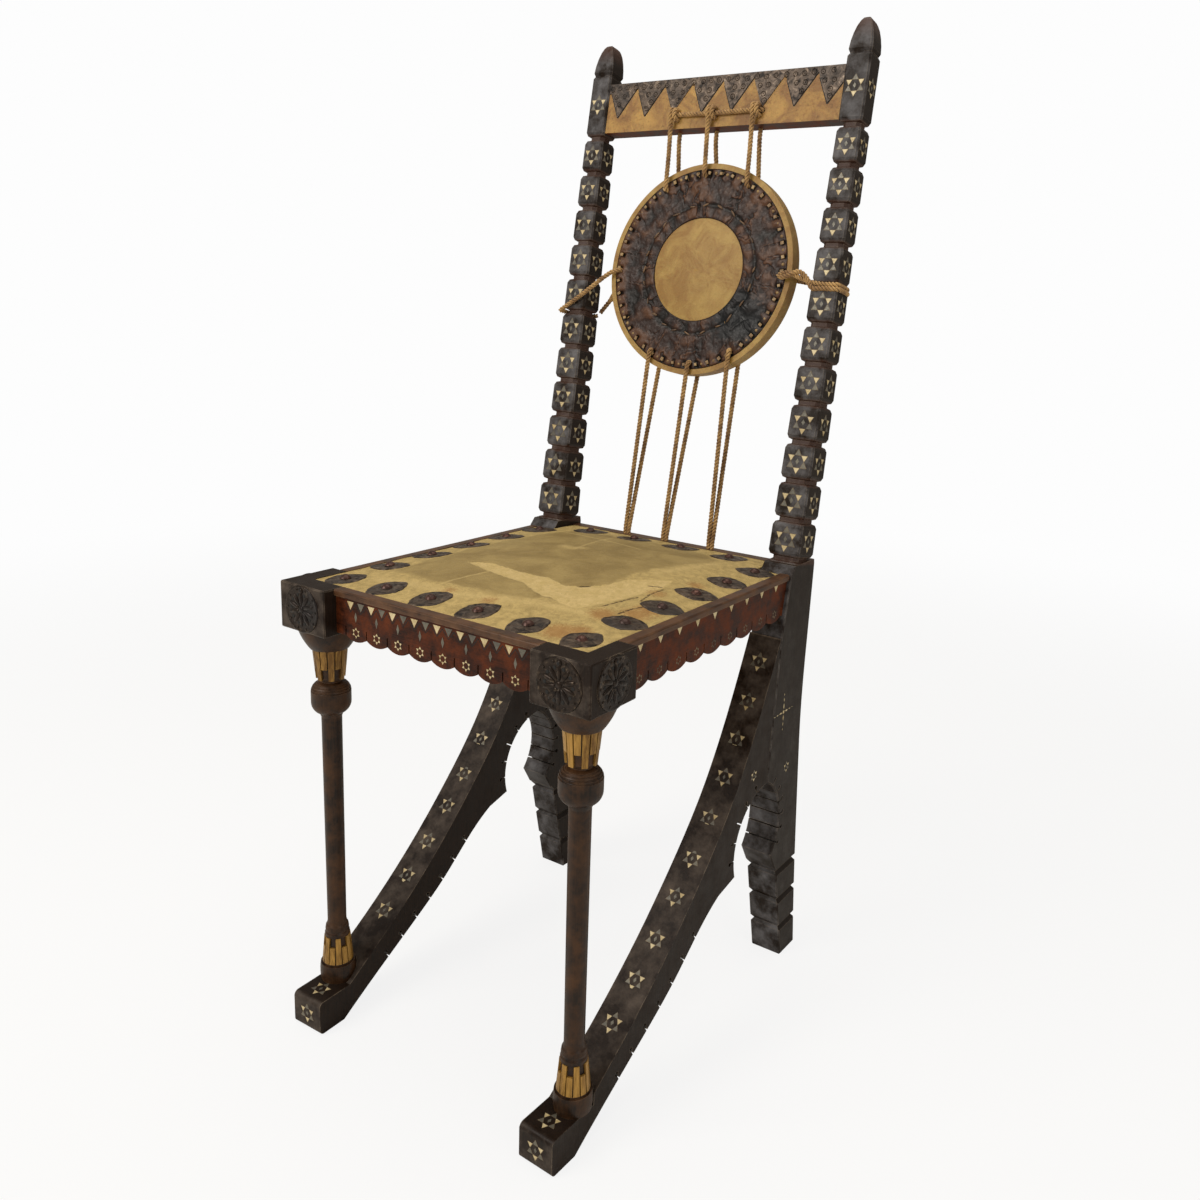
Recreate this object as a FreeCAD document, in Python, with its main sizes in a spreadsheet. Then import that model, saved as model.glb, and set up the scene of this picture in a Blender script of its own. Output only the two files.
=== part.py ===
import FreeCAD, Part
import math
import os
from types import SimpleNamespace

# Side chair with a slung round back shield, in millimetres. +X runs to the right seen from the
# front, which is the sitter's left, +Y to the back and +Z up. Sub-parts are drawn with y = 0 at
# the front faces of the two corner blocks and then moved back by one length, so that the origin
# lies under the middle of the whole chair.

SIZES = {
    # whole chair
    "seat_height": 465.0,
    "seat_depth": 366.7,
    "half_width": 180.0,
    "overrun": 5.0,
    "fit_gap": 0.15,
    "edge_bevel": 1.2,
    # posts, measured along their lean
    "lean_angle": 9.94,
    "post_width_seat": 37.5,
    "post_width_head": 27.5,
    "post_depth_seat": 37.0,
    "post_depth_head": 25.9,
    "first_neck": 12.75,
    "neck_pitch": 41.75,
    "neck_count": 12,
    "neck_flat": 4.0,
    "neck_inset": 3.7,
    "bead_bevel": 5.0,
    "shoulder_rise": 1.3,
    "shoulder_inset": 1.5,
    "bead_corner": 2.0,
    "neck_corner": 4.5,
    "shaft_root": 5.9,
    "head_length": 74.0,
    "head_notch": 1.7,
    "head_notch_half": 3.0,
    "finial_length": 38.6,
    # rear legs below the seat
    "leg_width": 37.5,
    "leg_spread": 59.3,
    "leg_notch_depth": 3.5,
    "leg_notch_half": 4.5,
    "leg_notch_top": 115.0,
    "leg_notch_pitch": 38.5,
    "leg_notch_count": 3,
    # saw slits that end in drilled holes
    "slit_width": 1.4,
    "slit_hole": 4.4,
    "slit_reach": 8.0,
    "leg_slit_count": 6,
    "brace_slit_count": 5,
    "under_slit_count": 7,
    # curved front braces
    "brace_width": 38.0,
    "brace_track": 151.5,
    "brace_toe_angle": 1.5,
    "joint_gap": 0.55,
    "foot_overhang": 13.0,
    "foot_height": 35.4,
    "foot_sole": 31.0,
    "foot_round": 5.0,
    "brace_tenon_thick": 14.0,
    "brace_tenon_reach": 22.0,
    "brace_tenon_low": 275.0,
    "brace_tenon_tall": 65.0,
    # corner blocks and their roundels
    "block_size": 63.0,
    "block_height": 46.4,
    "block_track": 156.5,
    "roundel_radius": 23.2,
    "roundel_proud": 1.2,
    "roundel_sink": 1.0,
    # turned front legs
    "turned_height": 383.2,
    "ball_radius": 19.35,
    "drum_radius": 18.0,
    "groove_radius": 0.8,
    "groove_count": 4,
    "leg_pin_radius": 6.0,
    "leg_pin_low": 18.0,
    "leg_pin_high": 22.0,
    # brass strips on the front legs
    "strip_count": 14,
    "strip_thick": 2.0,
    "strip_gap_angle": 4.0,
    "top_strip_long": 32.0,
    "top_strip_short": 20.0,
    "top_strip_radius": 17.0,
    "top_strip_taper": 3.0,
    "base_strip_long": 28.0,
    "base_strip_short": 18.0,
    "base_strip_radius": 15.5,
    "base_strip_taper": 2.5,
    "base_strip_low": 20.6,
    "collar_drop": 21.6,
    # aprons and rear rail
    "apron_setback": 14.5,
    "side_setback": 12.5,
    "apron_thick": 20.0,
    "apron_drop": 41.0,
    "scallop_rise": 4.0,
    "front_scallop_pitch": 28.0,
    "side_scallop_pitch": 30.7,
    "slit_height": 13.0,
    "tenon_thick": 7.0,
    "tenon_reach": 12.0,
    "tenon_low": 9.0,
    "tenon_tall": 20.0,
    "rear_rail_front": 22.3,
    "rear_rail_thick": 18.0,
    # lip mouldings
    "lip_height": 6.0,
    "lip_width": 11.0,
    "lip_proud": 2.5,
    "lip_round": 2.0,
    "rear_lip_width": 14.0,
    "rear_lip_proud": 0.5,
    # seat
    "board_thick": 10.0,
    "board_below_top": 2.0,
    "crown_height": 13.5,
    "border_rise": 0.2,
    "vellum_thick": 1.2,
    "padding_inset": 14.0,
    "plate_length": 41.0,
    "plate_width": 33.0,
    "plate_thick": 0.9,
    "plate_side_inset": 31.0,
    "plate_end_inset": 30.7,
    "front_plate_pitch": 58.0,
    "front_plate_pairs": 3,
    "side_plate_pitch": 58.5,
    "side_plate_pairs": 5,
    "back_plate_pitch": 64.0,
    "back_plate_pairs": 2,
    "back_plate_inset": 24.0,
    "front_plate_angle": 70.0,
    "side_plate_angle": 25.0,
    "nail_radius": 5.6,
    "nail_dome": 3.6,
    # crest rail between the heads
    "crest_low": 477.6,
    "crest_height": 56.4,
    "crest_inset": 1.9,
    "crest_depth": 20.8,
    "crest_vellum": 0.9,
    "crest_metal": 0.7,
    "tooth_pitch": 39.0,
    "tooth_tip": 17.7,
    "tooth_left": 45.6,
    "tooth_right": 51.7,
    "tooth_left_run": 12.5,
    "tooth_right_run": 24.5,
    "crest_tenon": 14.0,
    "stud_radius": 4.2,
    "stud_dome": 3.8,
    "stud_inset": 21.0,
    "rope_bore": 3.4,
    # round back shield, in the lean of the posts
    "shield_height": 318.9,
    "shield_front": 8.7,
    "shield_radius": 119.6,
    "shield_thick": 16.5,
    "hoop_wall": 6.0,
    "ring_thick": 1.6,
    "boss_radius": 58.2,
    "boss_dome": 3.2,
    "boss_edge": 1.2,
    "skin_thick": 1.1,
    "pin_circle": 108.5,
    "pin_radius": 2.0,
    "pin_height": 1.6,
    "pin_count": 44,
    "hole_circle": 106.0,
    # ropes
    "rope_size": 4.3,
    "rope_bend": 4.6,
    "rope_stand": 5.0,
    "rail_rope_height": 15.0,
    "rail_rope_half": 59.5,
    "seat_rope_inset": 7.5,
    "rope_dive": 16.0,
    "left_tie_neck": 6,
    "right_tie_neck": 7,
    "toggle_length": 24.0,
    "toggle_radius": 4.2,
    # hidden joinery
    "peg_radius": 3.0,
    "peg_length": 17.0,
    "glue_block_side": 15.0,
    "glue_block_length": 40.0,
}

# Outline points as shares of the leg's spread (from the post's front plane) and the seat height.
LEG_HEAD_SHARES = [(0.71, 1.017), (-0.03, 1.017), (-0.18, 0.996), (-0.28, 0.935)]
LEG_JOINT_TOP_SHARES = (-0.40, 0.856)
LEG_ARCH_TOP_SHARES = (-0.61, 0.514)
LEG_ARCH_SHARES = (-0.045, 0.402, -0.30, 0.312)
LEG_FRONT_SHARES = [(0.0, 0.247), (0.14, 0.163), (0.275, 0.082), (0.41, 0.0)]
LEG_REAR_SHARES = [(1.0, 0.0), (0.79, 0.269), (0.69, 0.454), (0.61, 0.645), (0.66, 0.822), (0.74, 0.994)]
# Outline points of the brace as shares of its reach and its rise to the joint with the leg.
BRACE_TOP_SHARES = [(0.883, 0.789), (0.752, 0.603), (0.601, 0.452), (0.434, 0.314), (0.297, 0.219),
                    (0.187, 0.153)]
BRACE_UNDER_SHARES = [(0.125, 0.040), (0.242, 0.1005), (0.3615, 0.161), (0.4825, 0.2286),
                      (0.621, 0.324), (0.708, 0.369)]
BRACE_CUSP_SHARES = (0.796, 0.387)
BRACE_ARCH_SHARES = (0.822, 0.533)
# Turned profile as shares of the ball's radius and the turned height. The foot's end is measured
# up from the foot and the ball's end down from the block.
DRUM_SHARES = [(0.89, 0.0), (0.93, 0.024), (0.89, 0.0485)]
BASE_SHARES = [(0.80, 0.0485), (0.80, 0.0537), (0.697, 0.0537), (0.567, 0.1272), (0.64, 0.1272),
               (0.64, 0.136), (0.59, 0.141), (0.61, 0.147), (0.58, 0.157), (0.52, 0.162)]
SHAFT_FOOT_SHARES = (0.486, 0.17)
SHAFT_TOP_SHARES = [(0.517, 0.755), (0.60, 0.766)]
BALL_SHARES = [(0.86, 0.776), (1.0, 0.797), (1.0, 0.822), (0.93, 0.838), (0.52, 0.852)]
NECK_SHARES = [(0.49, 0.856), (0.49, 0.863), (0.62, 0.863), (0.775, 0.9436), (0.98, 0.9436)]
CAPITAL_SHARES = [(1.28, 0.967), (1.55, 1.0)]
# Sections of the finial: how far up it, how much of the head's width is left, and how much of its
# depth has gone from the front and from the rear.
FINIAL_SHARES = [(0.10, 0.99, 0.0, 0.0), (0.32, 0.93, 0.02, 0.0), (0.54, 0.80, 0.06, 0.0),
                 (0.74, 0.62, 0.12, 0.01), (0.88, 0.43, 0.19, 0.04), (0.96, 0.28, 0.27, 0.10),
                 (1.0, 0.14, 0.38, 0.22)]
# Where ropes pass the shield, in degrees from straight up.
UPPER_HOLE_ANGLES = (-31.4, -2.9, 29.0)
LOWER_HOLE_ANGLES = (206.6, 176.3, 147.0)
TIE_HOLE_ANGLES = (-91.7, 92.7)
# Where the lower ropes reach the rear of the seat, as shares of the half width.
SEAT_HOLE_SHARES = (-0.356, -0.054, 0.295)
# Half the distance between the two strands there, and the stand of a tie off its post, as shares
# of the rope's size and of the neck's inset.
STRAND_SHARE = 0.55
TIE_STAND_SHARE = 1.4
# Longest bend of a rope, as a share of the shorter run beside it.
BEND_SHARE = 0.45
# Where the rear strands enter the crest rail and the pegs the rear rail's tenons, as shares of the
# rail's depth and of the leg's spread.
CREST_ROPE_SHARE = 0.8
PEG_BACK_SHARE = 0.7
# Middles of the glue blocks as shares of the frame's half width and of the seat's depth.
GLUE_BLOCK_ACROSS_SHARES = (-0.5, 0.5)
GLUE_BLOCK_ALONG_SHARES = (0.35, 0.7)
# Sections across the crowned seat.
SEAT_SECTIONS = 8

doc = FreeCAD.newDocument("side_chair")
sheet = doc.addObject("Spreadsheet::Sheet", "Sizes")
for row, (alias, number) in enumerate(SIZES.items(), start=1):
    sheet.set(f"A{row}", alias)
    sheet.set(f"B{row}", str(number))
    sheet.setAlias(f"B{row}", alias)
doc.recompute()
d = SimpleNamespace(**{alias: float(sheet.get(alias)) for alias in SIZES})

EXPORTED = []
QUARTER_TURN = 90.0
FULL_TURN = 360.0


def vec(x=0.0, y=0.0, z=0.0):
    """A point or direction."""
    return FreeCAD.Vector(x, y, z)


def turned(axis, angle, base=None):
    """A placement that turns about an axis through the origin and then moves to base."""
    return FreeCAD.Placement(base or vec(), FreeCAD.Rotation(axis, angle))


def lean():
    """The frame of the leaning back: x across, y behind the posts' front plane, z along them."""
    return turned(vec(1, 0, 0), -d.lean_angle, vec(0, d.seat_depth, d.seat_height))


def reach_of_head():
    """How far back the finials reach."""
    angle = math.radians(d.lean_angle)
    notch = d.first_neck + d.neck_pitch * (d.neck_count - 1) + d.head_length
    return d.seat_depth + max((notch + rise * d.finial_length) * math.sin(angle)
                              + (1 - from_rear) * d.post_depth_head * math.cos(angle)
                              for rise, _, _, from_rear in FINIAL_SHARES)


def reach_of_foot():
    """How far forward the corner of a foot lies, which turns with its brace."""
    angle = math.radians(d.brace_toe_angle)
    return d.foot_overhang * math.cos(angle) + d.brace_width / 2 * math.sin(angle)


ORIGIN_BACK = (reach_of_head() - reach_of_foot()) / 2
HOME = FreeCAD.Placement(vec(0, -ORIGIN_BACK, 0), FreeCAD.Rotation())


def keep(made, label, frame=None):
    """Gives a sub-part its name and its place, and puts it on the list of files."""
    made.Label = label
    made.Placement = HOME.multiply(frame or FreeCAD.Placement()).multiply(made.Placement)
    EXPORTED.append(made)
    return made


def outline(start, *steps):
    """Closed loop: a step of two numbers is a line to that point, one of four an arc by way of
    its first point to its second, and a list a smooth curve through its points."""
    curves = []
    here = vec(*start)
    for step in steps:
        if isinstance(step, list):
            points = [here] + [vec(*point) for point in step]
            curve = Part.BSplineCurve()
            curve.interpolate(points)
            curves.append(curve)
            here = points[-1]
        elif len(step) == 4:
            end = vec(*step[2:])
            curves.append(Part.Arc(here, vec(*step[:2]), end))
            here = end
        else:
            end = vec(*step)
            curves.append(Part.LineSegment(here, end))
            here = end
    if (here - vec(*start)).Length > 0:
        curves.append(Part.LineSegment(here, vec(*start)))
    return curves


def rectangle(x_low, y_low, x_high, y_high):
    """Closed rectangle."""
    return outline((x_low, y_low), (x_high, y_low), (x_high, y_high), (x_low, y_high))


def circle(x, y, radius):
    """A full circle as a loop of its own."""
    return [Part.Circle(vec(x, y), vec(0, 0, 1), radius)]


def new_body(name):
    """An empty body."""
    return doc.addObject("PartDesign::Body", name)


def sketch(body, role, loops, lift=0.0):
    """A sketch on one of the body's own origin planes, lifted along the plane's normal."""
    drawn = body.newObject("Sketcher::SketchObject", "Sketch")
    plane = next(f for f in body.Origin.OriginFeatures if f.Role == role)
    drawn.AttachmentSupport = [(plane, "")]
    drawn.MapMode = "FlatFace"
    drawn.AttachmentOffset = FreeCAD.Placement(vec(0, 0, lift), FreeCAD.Rotation())
    for loop in loops:
        for curve in loop:
            drawn.addGeometry(curve)
    return drawn


def pad(body, drawn, length, both_ways=False, backwards=False):
    """Thickens a sketch by an expression in the sheet's sizes."""
    feature = body.newObject("PartDesign::Pad", "Pad")
    feature.Profile = drawn
    if isinstance(length, str):
        feature.setExpression("Length", length)
    else:
        feature.Length = length
    feature.SideType = "Symmetric" if both_ways else "One side"
    feature.Reversed = backwards
    return feature


def pocket(body, drawn, length=None, backwards=False):
    """Cuts a sketch through the whole body, or to a depth given as an expression."""
    feature = body.newObject("PartDesign::Pocket", "Pocket")
    feature.Profile = drawn
    if length is None:
        feature.Type = "ThroughAll"
        feature.SideType = "Symmetric"
    else:
        feature.Type = "Length"
        feature.setExpression("Length", length)
        feature.Reversed = backwards
    return feature


def bevel(body, base, chosen, size="Sizes.edge_bevel"):
    """Chamfers the edges of the last feature for which chosen(edge) holds."""
    doc.recompute()
    names = [f"Edge{i}" for i, edge in enumerate(base.Shape.Edges, start=1) if chosen(edge)]
    feature = body.newObject("PartDesign::Chamfer", "Chamfer")
    feature.Base = (base, names)
    feature.setExpression("Size", size)
    return feature


def box(name, low, high):
    """A box between two corners, each a triple of expressions in the sheet's sizes."""
    made = doc.addObject("Part::Box", name)
    for side, start, end in zip(("Length", "Width", "Height"), low, high):
        made.setExpression(side, f"({end}) - ({start})")
    for axis, start in zip("xyz", low):
        made.setExpression(f".Placement.Base.{axis}", start)
    return made


def cut(base, tools):
    """Takes the tools away from the base."""
    made = doc.addObject("Part::Cut", "Cut")
    made.Base = base
    if len(tools) == 1:
        made.Tool = tools[0]
    else:
        group = doc.addObject("Part::MultiFuse", "Tools")
        group.Shapes = tools
        made.Tool = group
    return made


def fuse(pieces):
    """Joins pieces into one."""
    made = doc.addObject("Part::MultiFuse", "Fusion")
    made.Shapes = pieces
    return made


def solids(name, shapes):
    """Separate solids of one kind as one object."""
    made = doc.addObject("Part::Feature", name)
    made.Shape = Part.makeCompound(shapes)
    return made


def mirrored(source, label):
    """The left-hand twin of a right-hand sub-part."""
    made = doc.addObject("Part::Mirroring", label)
    made.Source = source
    made.Normal = vec(1, 0, 0)
    made.Base = vec()
    made.Label = label
    EXPORTED.append(made)
    return made


def leg_point(shares):
    """A point of the rear leg's outline: distance back and height."""
    return (d.seat_depth + shares[0] * d.leg_spread, shares[1] * d.seat_height)


def slit_loops(rim_points, directions):
    """Saw slits that start at the rim and end in a drilled hole, each along its direction."""
    loops = []
    half = d.slit_width / 2
    bore = d.slit_hole / 2
    lead = math.sqrt(bore * bore - half * half)
    for point, angle in zip(rim_points, directions):
        ahead = vec(math.cos(angle), math.sin(angle))
        aside = vec(-ahead.y, ahead.x) * half
        rim = vec(*point) - ahead * d.overrun
        hole = vec(*point) + ahead * d.slit_reach
        near = hole - ahead * lead
        far = hole + ahead * bore
        ends = [rim + aside, near + aside, far, near - aside, rim - aside]
        flat = [(end.x, end.y) for end in ends]
        loops.append(outline(flat[0], flat[1], (*flat[2], *flat[3]), flat[4]))
    return loops


def arch_slits(low, middle, high, count):
    """Slit places and directions along an arch given by three of its points."""
    arc = Part.Arc(vec(*low), vec(*middle), vec(*high)).toShape()
    centre = arc.Curve.Center
    spots = arc.discretize(int(count) + 2)[1:-1]
    angles = [math.atan2(spot.y - centre.y, spot.x - centre.x) for spot in spots]
    return [(spot.x, spot.y) for spot in spots], angles


def shaft_section(along, inset, corner, shares=(1.0, 0.0, 0.0)):
    """Cross-section of a leaning post: a rectangle with cut corners that tapers on its inner and
    rear sides only, so that the outer and front faces stay flat. The shares give how much of the
    width is left, and how much of the depth has gone from the front and from the rear."""
    top_neck = d.first_neck + d.neck_pitch * (d.neck_count - 1)
    rise = min(1.0, max(0.0, (along - d.first_neck) / (top_neck - d.first_neck)))
    width = d.post_width_seat + (d.post_width_head - d.post_width_seat) * rise
    depth = d.post_depth_seat + (d.post_depth_head - d.post_depth_seat) * rise
    left, from_front, from_rear = shares
    half_x = left * (width / 2 - inset)
    half_y = (1 - from_front - from_rear) * depth / 2 - inset
    corner *= left
    middle = vec(d.half_width - width / 2, depth * (1 + from_front - from_rear) / 2, along)
    near_x, near_y = half_x - corner, half_y - corner
    ring = [(-near_x, -half_y), (near_x, -half_y), (half_x, -near_y), (half_x, near_y),
            (near_x, half_y), (-near_x, half_y), (-half_x, near_y), (-half_x, -near_y)]
    points = [middle + vec(x, y) for x, y in ring]
    return Part.makePolygon(points + points[:1])


def beaded_shaft():
    """The upper post: twelve necks between rounded beads, a plain head, a shallow notch and a
    finial that is arched across and runs to a short ridge."""
    sections = [shaft_section(-d.shaft_root, 0.0, d.bead_corner)]
    for number in range(int(d.neck_count)):
        neck = d.first_neck + d.neck_pitch * number
        inner, outer = d.neck_flat / 2, d.neck_flat / 2 + d.bead_bevel
        shoulder = inner + d.shoulder_rise
        sections.append(shaft_section(neck - outer, 0.0, d.bead_corner))
        sections.append(shaft_section(neck - shoulder, d.shoulder_inset, d.bead_corner))
        sections.append(shaft_section(neck - inner, d.neck_inset, d.neck_corner))
        sections.append(shaft_section(neck + inner, d.neck_inset, d.neck_corner))
        sections.append(shaft_section(neck + shoulder, d.shoulder_inset, d.bead_corner))
        sections.append(shaft_section(neck + outer, 0.0, d.bead_corner))
    notch = d.first_neck + d.neck_pitch * (d.neck_count - 1) + d.head_length
    sections.append(shaft_section(notch - d.head_notch_half, 0.0, d.bead_corner))
    sections.append(shaft_section(notch, d.head_notch, d.bead_corner))
    for rise, *shares in FINIAL_SHARES:
        sections.append(shaft_section(notch + rise * d.finial_length, 0.0, d.bead_corner, shares))
    shaft = solids("Shaft", [Part.makeLoft(sections, True, True)])
    shaft.Placement = lean()
    return shaft


def leg_outline():
    """Side outline of the rear leg: swelling head, joint with the brace, half arch, notched foot."""
    head = [leg_point(shares) for shares in LEG_HEAD_SHARES]
    arch = leg_point(LEG_ARCH_SHARES[:2]) + leg_point(LEG_ARCH_SHARES[2:])
    front = [leg_point(shares) for shares in LEG_FRONT_SHARES]
    rear = [leg_point(shares) for shares in LEG_REAR_SHARES]
    return outline(head[0], head[1], head[2], head[3], leg_point(LEG_JOINT_TOP_SHARES),
                   leg_point(LEG_ARCH_TOP_SHARES), arch, *front, rear[0], rear[1:], head[0])


def leg_notches():
    """Vee notches round the foot of the leg, seen from the side and from the front."""
    side_loops = []
    front_loops = []
    half, depth, past = d.leg_notch_half, d.leg_notch_depth, d.overrun
    foot_front, foot_rear = leg_point(LEG_FRONT_SHARES[-1])[0], leg_point(LEG_REAR_SHARES[0])[0]
    knee_front, knee = leg_point(LEG_FRONT_SHARES[0])
    rear_knee, rear_high = leg_point(LEG_REAR_SHARES[1])
    inner, outer = d.half_width - d.leg_width, d.half_width
    for number in range(int(d.leg_notch_count)):
        level = d.leg_notch_top - number * d.leg_notch_pitch
        front = foot_front + (knee_front - foot_front) * level / knee
        rear = foot_rear + (rear_knee - foot_rear) * level / rear_high
        wide = half * (1 + past / depth)
        for edge, way in ((front, 1), (rear, -1)):
            side_loops.append(outline((edge + way * depth, level), (edge - way * past, level + wide),
                                      (edge - way * past, level - wide)))
        for edge, way in ((inner, 1), (outer, -1)):
            front_loops.append(outline((edge + way * depth, level), (edge - way * past, level + wide),
                                       (edge - way * past, level - wide)))
    return side_loops, front_loops


def rear_post():
    """Leaning beaded post and rear leg in one piece, with its mortises."""
    body = new_body("Leg")
    middle = d.half_width - d.leg_width / 2
    base = pad(body, sketch(body, "YZ_Plane", [leg_outline()], middle), "Sizes.leg_width", True)
    sides = (d.half_width, d.half_width - d.leg_width)
    bevel(body, base, lambda edge: any(
        abs(edge.BoundBox.XMin - side) < d.fit_gap and abs(edge.BoundBox.XMax - side) < d.fit_gap
        for side in sides) and edge.BoundBox.ZMax < d.seat_height)
    arch = [leg_point(LEG_ARCH_TOP_SHARES), leg_point(LEG_ARCH_SHARES[:2]), leg_point(LEG_ARCH_SHARES[2:])]
    spots, angles = arch_slits(*arch, d.leg_slit_count)
    pocket(body, sketch(body, "YZ_Plane", slit_loops(spots, angles)))
    side_loops, front_loops = leg_notches()
    pocket(body, sketch(body, "YZ_Plane", side_loops))
    pocket(body, sketch(body, "XZ_Plane", front_loops))
    whole = fuse([body, beaded_shaft()])
    tools = [box("SideMortise", (side_tenon("-"), "Sizes.seat_depth - Sizes.leg_spread / 2",
                                 mortise_low()),
                 (side_tenon("+"), "Sizes.seat_depth + Sizes.fit_gap", mortise_high())),
             box("RearMortise", ("Sizes.half_width - Sizes.leg_width - Sizes.overrun",
                                 rear_tenon("-"), mortise_low()),
                 ("Sizes.half_width - Sizes.leg_width + Sizes.tenon_reach + Sizes.fit_gap",
                  rear_tenon("+"), mortise_high())),
             brace_mortise(), crest_mortise(), *peg_holes()]
    return keep(cut(whole, tools), "rear_post_right")


def mortise_low():
    """Underside of the seat frame's tenon holes, as an expression."""
    return "Sizes.seat_height - Sizes.lip_height - Sizes.apron_drop + Sizes.tenon_low - Sizes.fit_gap"


def mortise_high():
    """Top of the seat frame's tenon holes, as an expression."""
    return ("Sizes.seat_height - Sizes.lip_height - Sizes.apron_drop + Sizes.tenon_low"
            " + Sizes.tenon_tall + Sizes.fit_gap")


def peg_holes():
    """Holes for the two pegs of the right post."""
    high = solids("Bore", [head_peg(d.peg_radius, d.overrun)])
    low = solids("Bore", [seat_peg(d.peg_radius, d.overrun)])
    high.Placement = lean()
    return [high, low]


def rear_tenon(sign):
    """Front or rear face of the rear rail's tenon hole, as an expression."""
    return ("Sizes.seat_depth + Sizes.rear_rail_front + Sizes.rear_rail_thick / 2"
            f" {sign} (Sizes.tenon_thick / 2 + Sizes.fit_gap)")


def joint_back(height):
    """How far back the joint between leg and brace lies at a height."""
    top, foot = leg_point(LEG_JOINT_TOP_SHARES), leg_point(LEG_ARCH_TOP_SHARES)
    return foot[0] + (top[0] - foot[0]) * (height - foot[1]) / (top[1] - foot[1])


def brace_frame():
    """Place of the right brace, turned out a little towards the back."""
    return turned(vec(0, 0, 1), -d.brace_toe_angle, vec(d.brace_track, 0, 0))


def brace_mortise():
    """Hole in the leg for the brace's tenon, in the brace's own direction."""
    gap = 2 * d.fit_gap
    front = joint_back(d.brace_tenon_low) - d.overrun
    back = joint_back(d.brace_tenon_low) + d.brace_tenon_reach + gap
    made = Part.makeBox(d.brace_tenon_thick + 2 * gap, back - front, d.brace_tenon_tall + 2 * gap,
                        vec(-d.brace_tenon_thick / 2 - gap, front, d.brace_tenon_low - gap))
    hole = solids("BraceMortise", [made])
    hole.Placement = brace_frame()
    return hole


def crest_tenon_box(gap, start):
    """Tenon of the crest rail in the right head, or with a gap its hole."""
    inner = d.half_width - d.post_width_head
    low = vec(start, d.crest_inset + d.crest_depth / 2 - d.tenon_thick / 2 - gap,
              d.crest_low + d.tenon_low - gap)
    return Part.makeBox(inner + d.crest_tenon + gap - start, d.tenon_thick + 2 * gap,
                        d.crest_height - 2 * d.tenon_low + 2 * gap, low)


def crest_mortise():
    """Hole in the head for the crest rail."""
    start = d.half_width - d.post_width_head - d.overrun
    hole = solids("CrestMortise", [crest_tenon_box(d.fit_gap, start)])
    hole.Placement = lean()
    return hole


def brace():
    """Curved brace from the foot under the front leg up to the rear leg."""
    body = new_body("brace_right")
    top = leg_point(LEG_JOINT_TOP_SHARES)
    arch_top = leg_point(LEG_ARCH_TOP_SHARES)
    gap = d.joint_gap

    def at(shares):
        return (shares[0] * top[0], shares[1] * top[1])

    front, round_off = -d.foot_overhang, d.foot_round
    near = round_off * (1 - math.sqrt(0.5))
    high = d.foot_height
    flat_end = d.block_size / 2 - d.foot_round
    ridge = [at(shares) for shares in BRACE_TOP_SHARES]
    under = [at(shares) for shares in BRACE_UNDER_SHARES]
    cusp = at(BRACE_CUSP_SHARES)
    middle = at(BRACE_ARCH_SHARES)
    loop = outline((front + round_off, 0), (front + d.foot_sole, 0), under, cusp,
                   (*middle, arch_top[0] - gap, arch_top[1]), (top[0] - gap, top[1]), ridge,
                   (flat_end, high), (front + round_off, high),
                   (front + near, high - near, front, high - round_off), (front, round_off),
                   (front + near, near, front + round_off, 0))
    pad(body, sketch(body, "YZ_Plane", [loop]), "Sizes.brace_width", True)
    tenon = rectangle(joint_back(d.brace_tenon_low) - d.overrun, d.brace_tenon_low,
                      joint_back(d.brace_tenon_low) + d.brace_tenon_reach,
                      d.brace_tenon_low + d.brace_tenon_tall)
    pad(body, sketch(body, "YZ_Plane", [tenon]), "Sizes.brace_tenon_thick", True)
    spots, angles = arch_slits(cusp, middle, (arch_top[0] - gap, arch_top[1]),
                               d.brace_slit_count)
    under_curve = Part.BSplineCurve()
    under_curve.interpolate([vec(front + d.foot_sole, 0)] + [vec(*point) for point in under])
    rim = under_curve.toShape().discretize(int(d.under_slit_count) + 5)[2:-1]
    for before, spot, after in zip(rim, rim[1:], rim[2:]):
        along = after - before
        spots.append((spot.x, spot.y))
        angles.append(math.atan2(along.x, -along.y))
    pocket(body, sketch(body, "YZ_Plane", slit_loops(spots, angles)))
    axis = brace_frame().inverse().multVec(vec(d.block_track, d.block_size / 2, 0))
    seat = circle(axis.x, axis.y, d.drum_radius + d.joint_gap)
    pocket(body, sketch(body, "XY_Plane", [seat], high), "2 * Sizes.foot_height", True)
    bore = circle(axis.x, axis.y, d.leg_pin_radius + d.fit_gap)
    pocket(body, sketch(body, "XY_Plane", [bore], high), "Sizes.leg_pin_low + Sizes.fit_gap")
    return keep(body, "brace_right", brace_frame())


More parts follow.
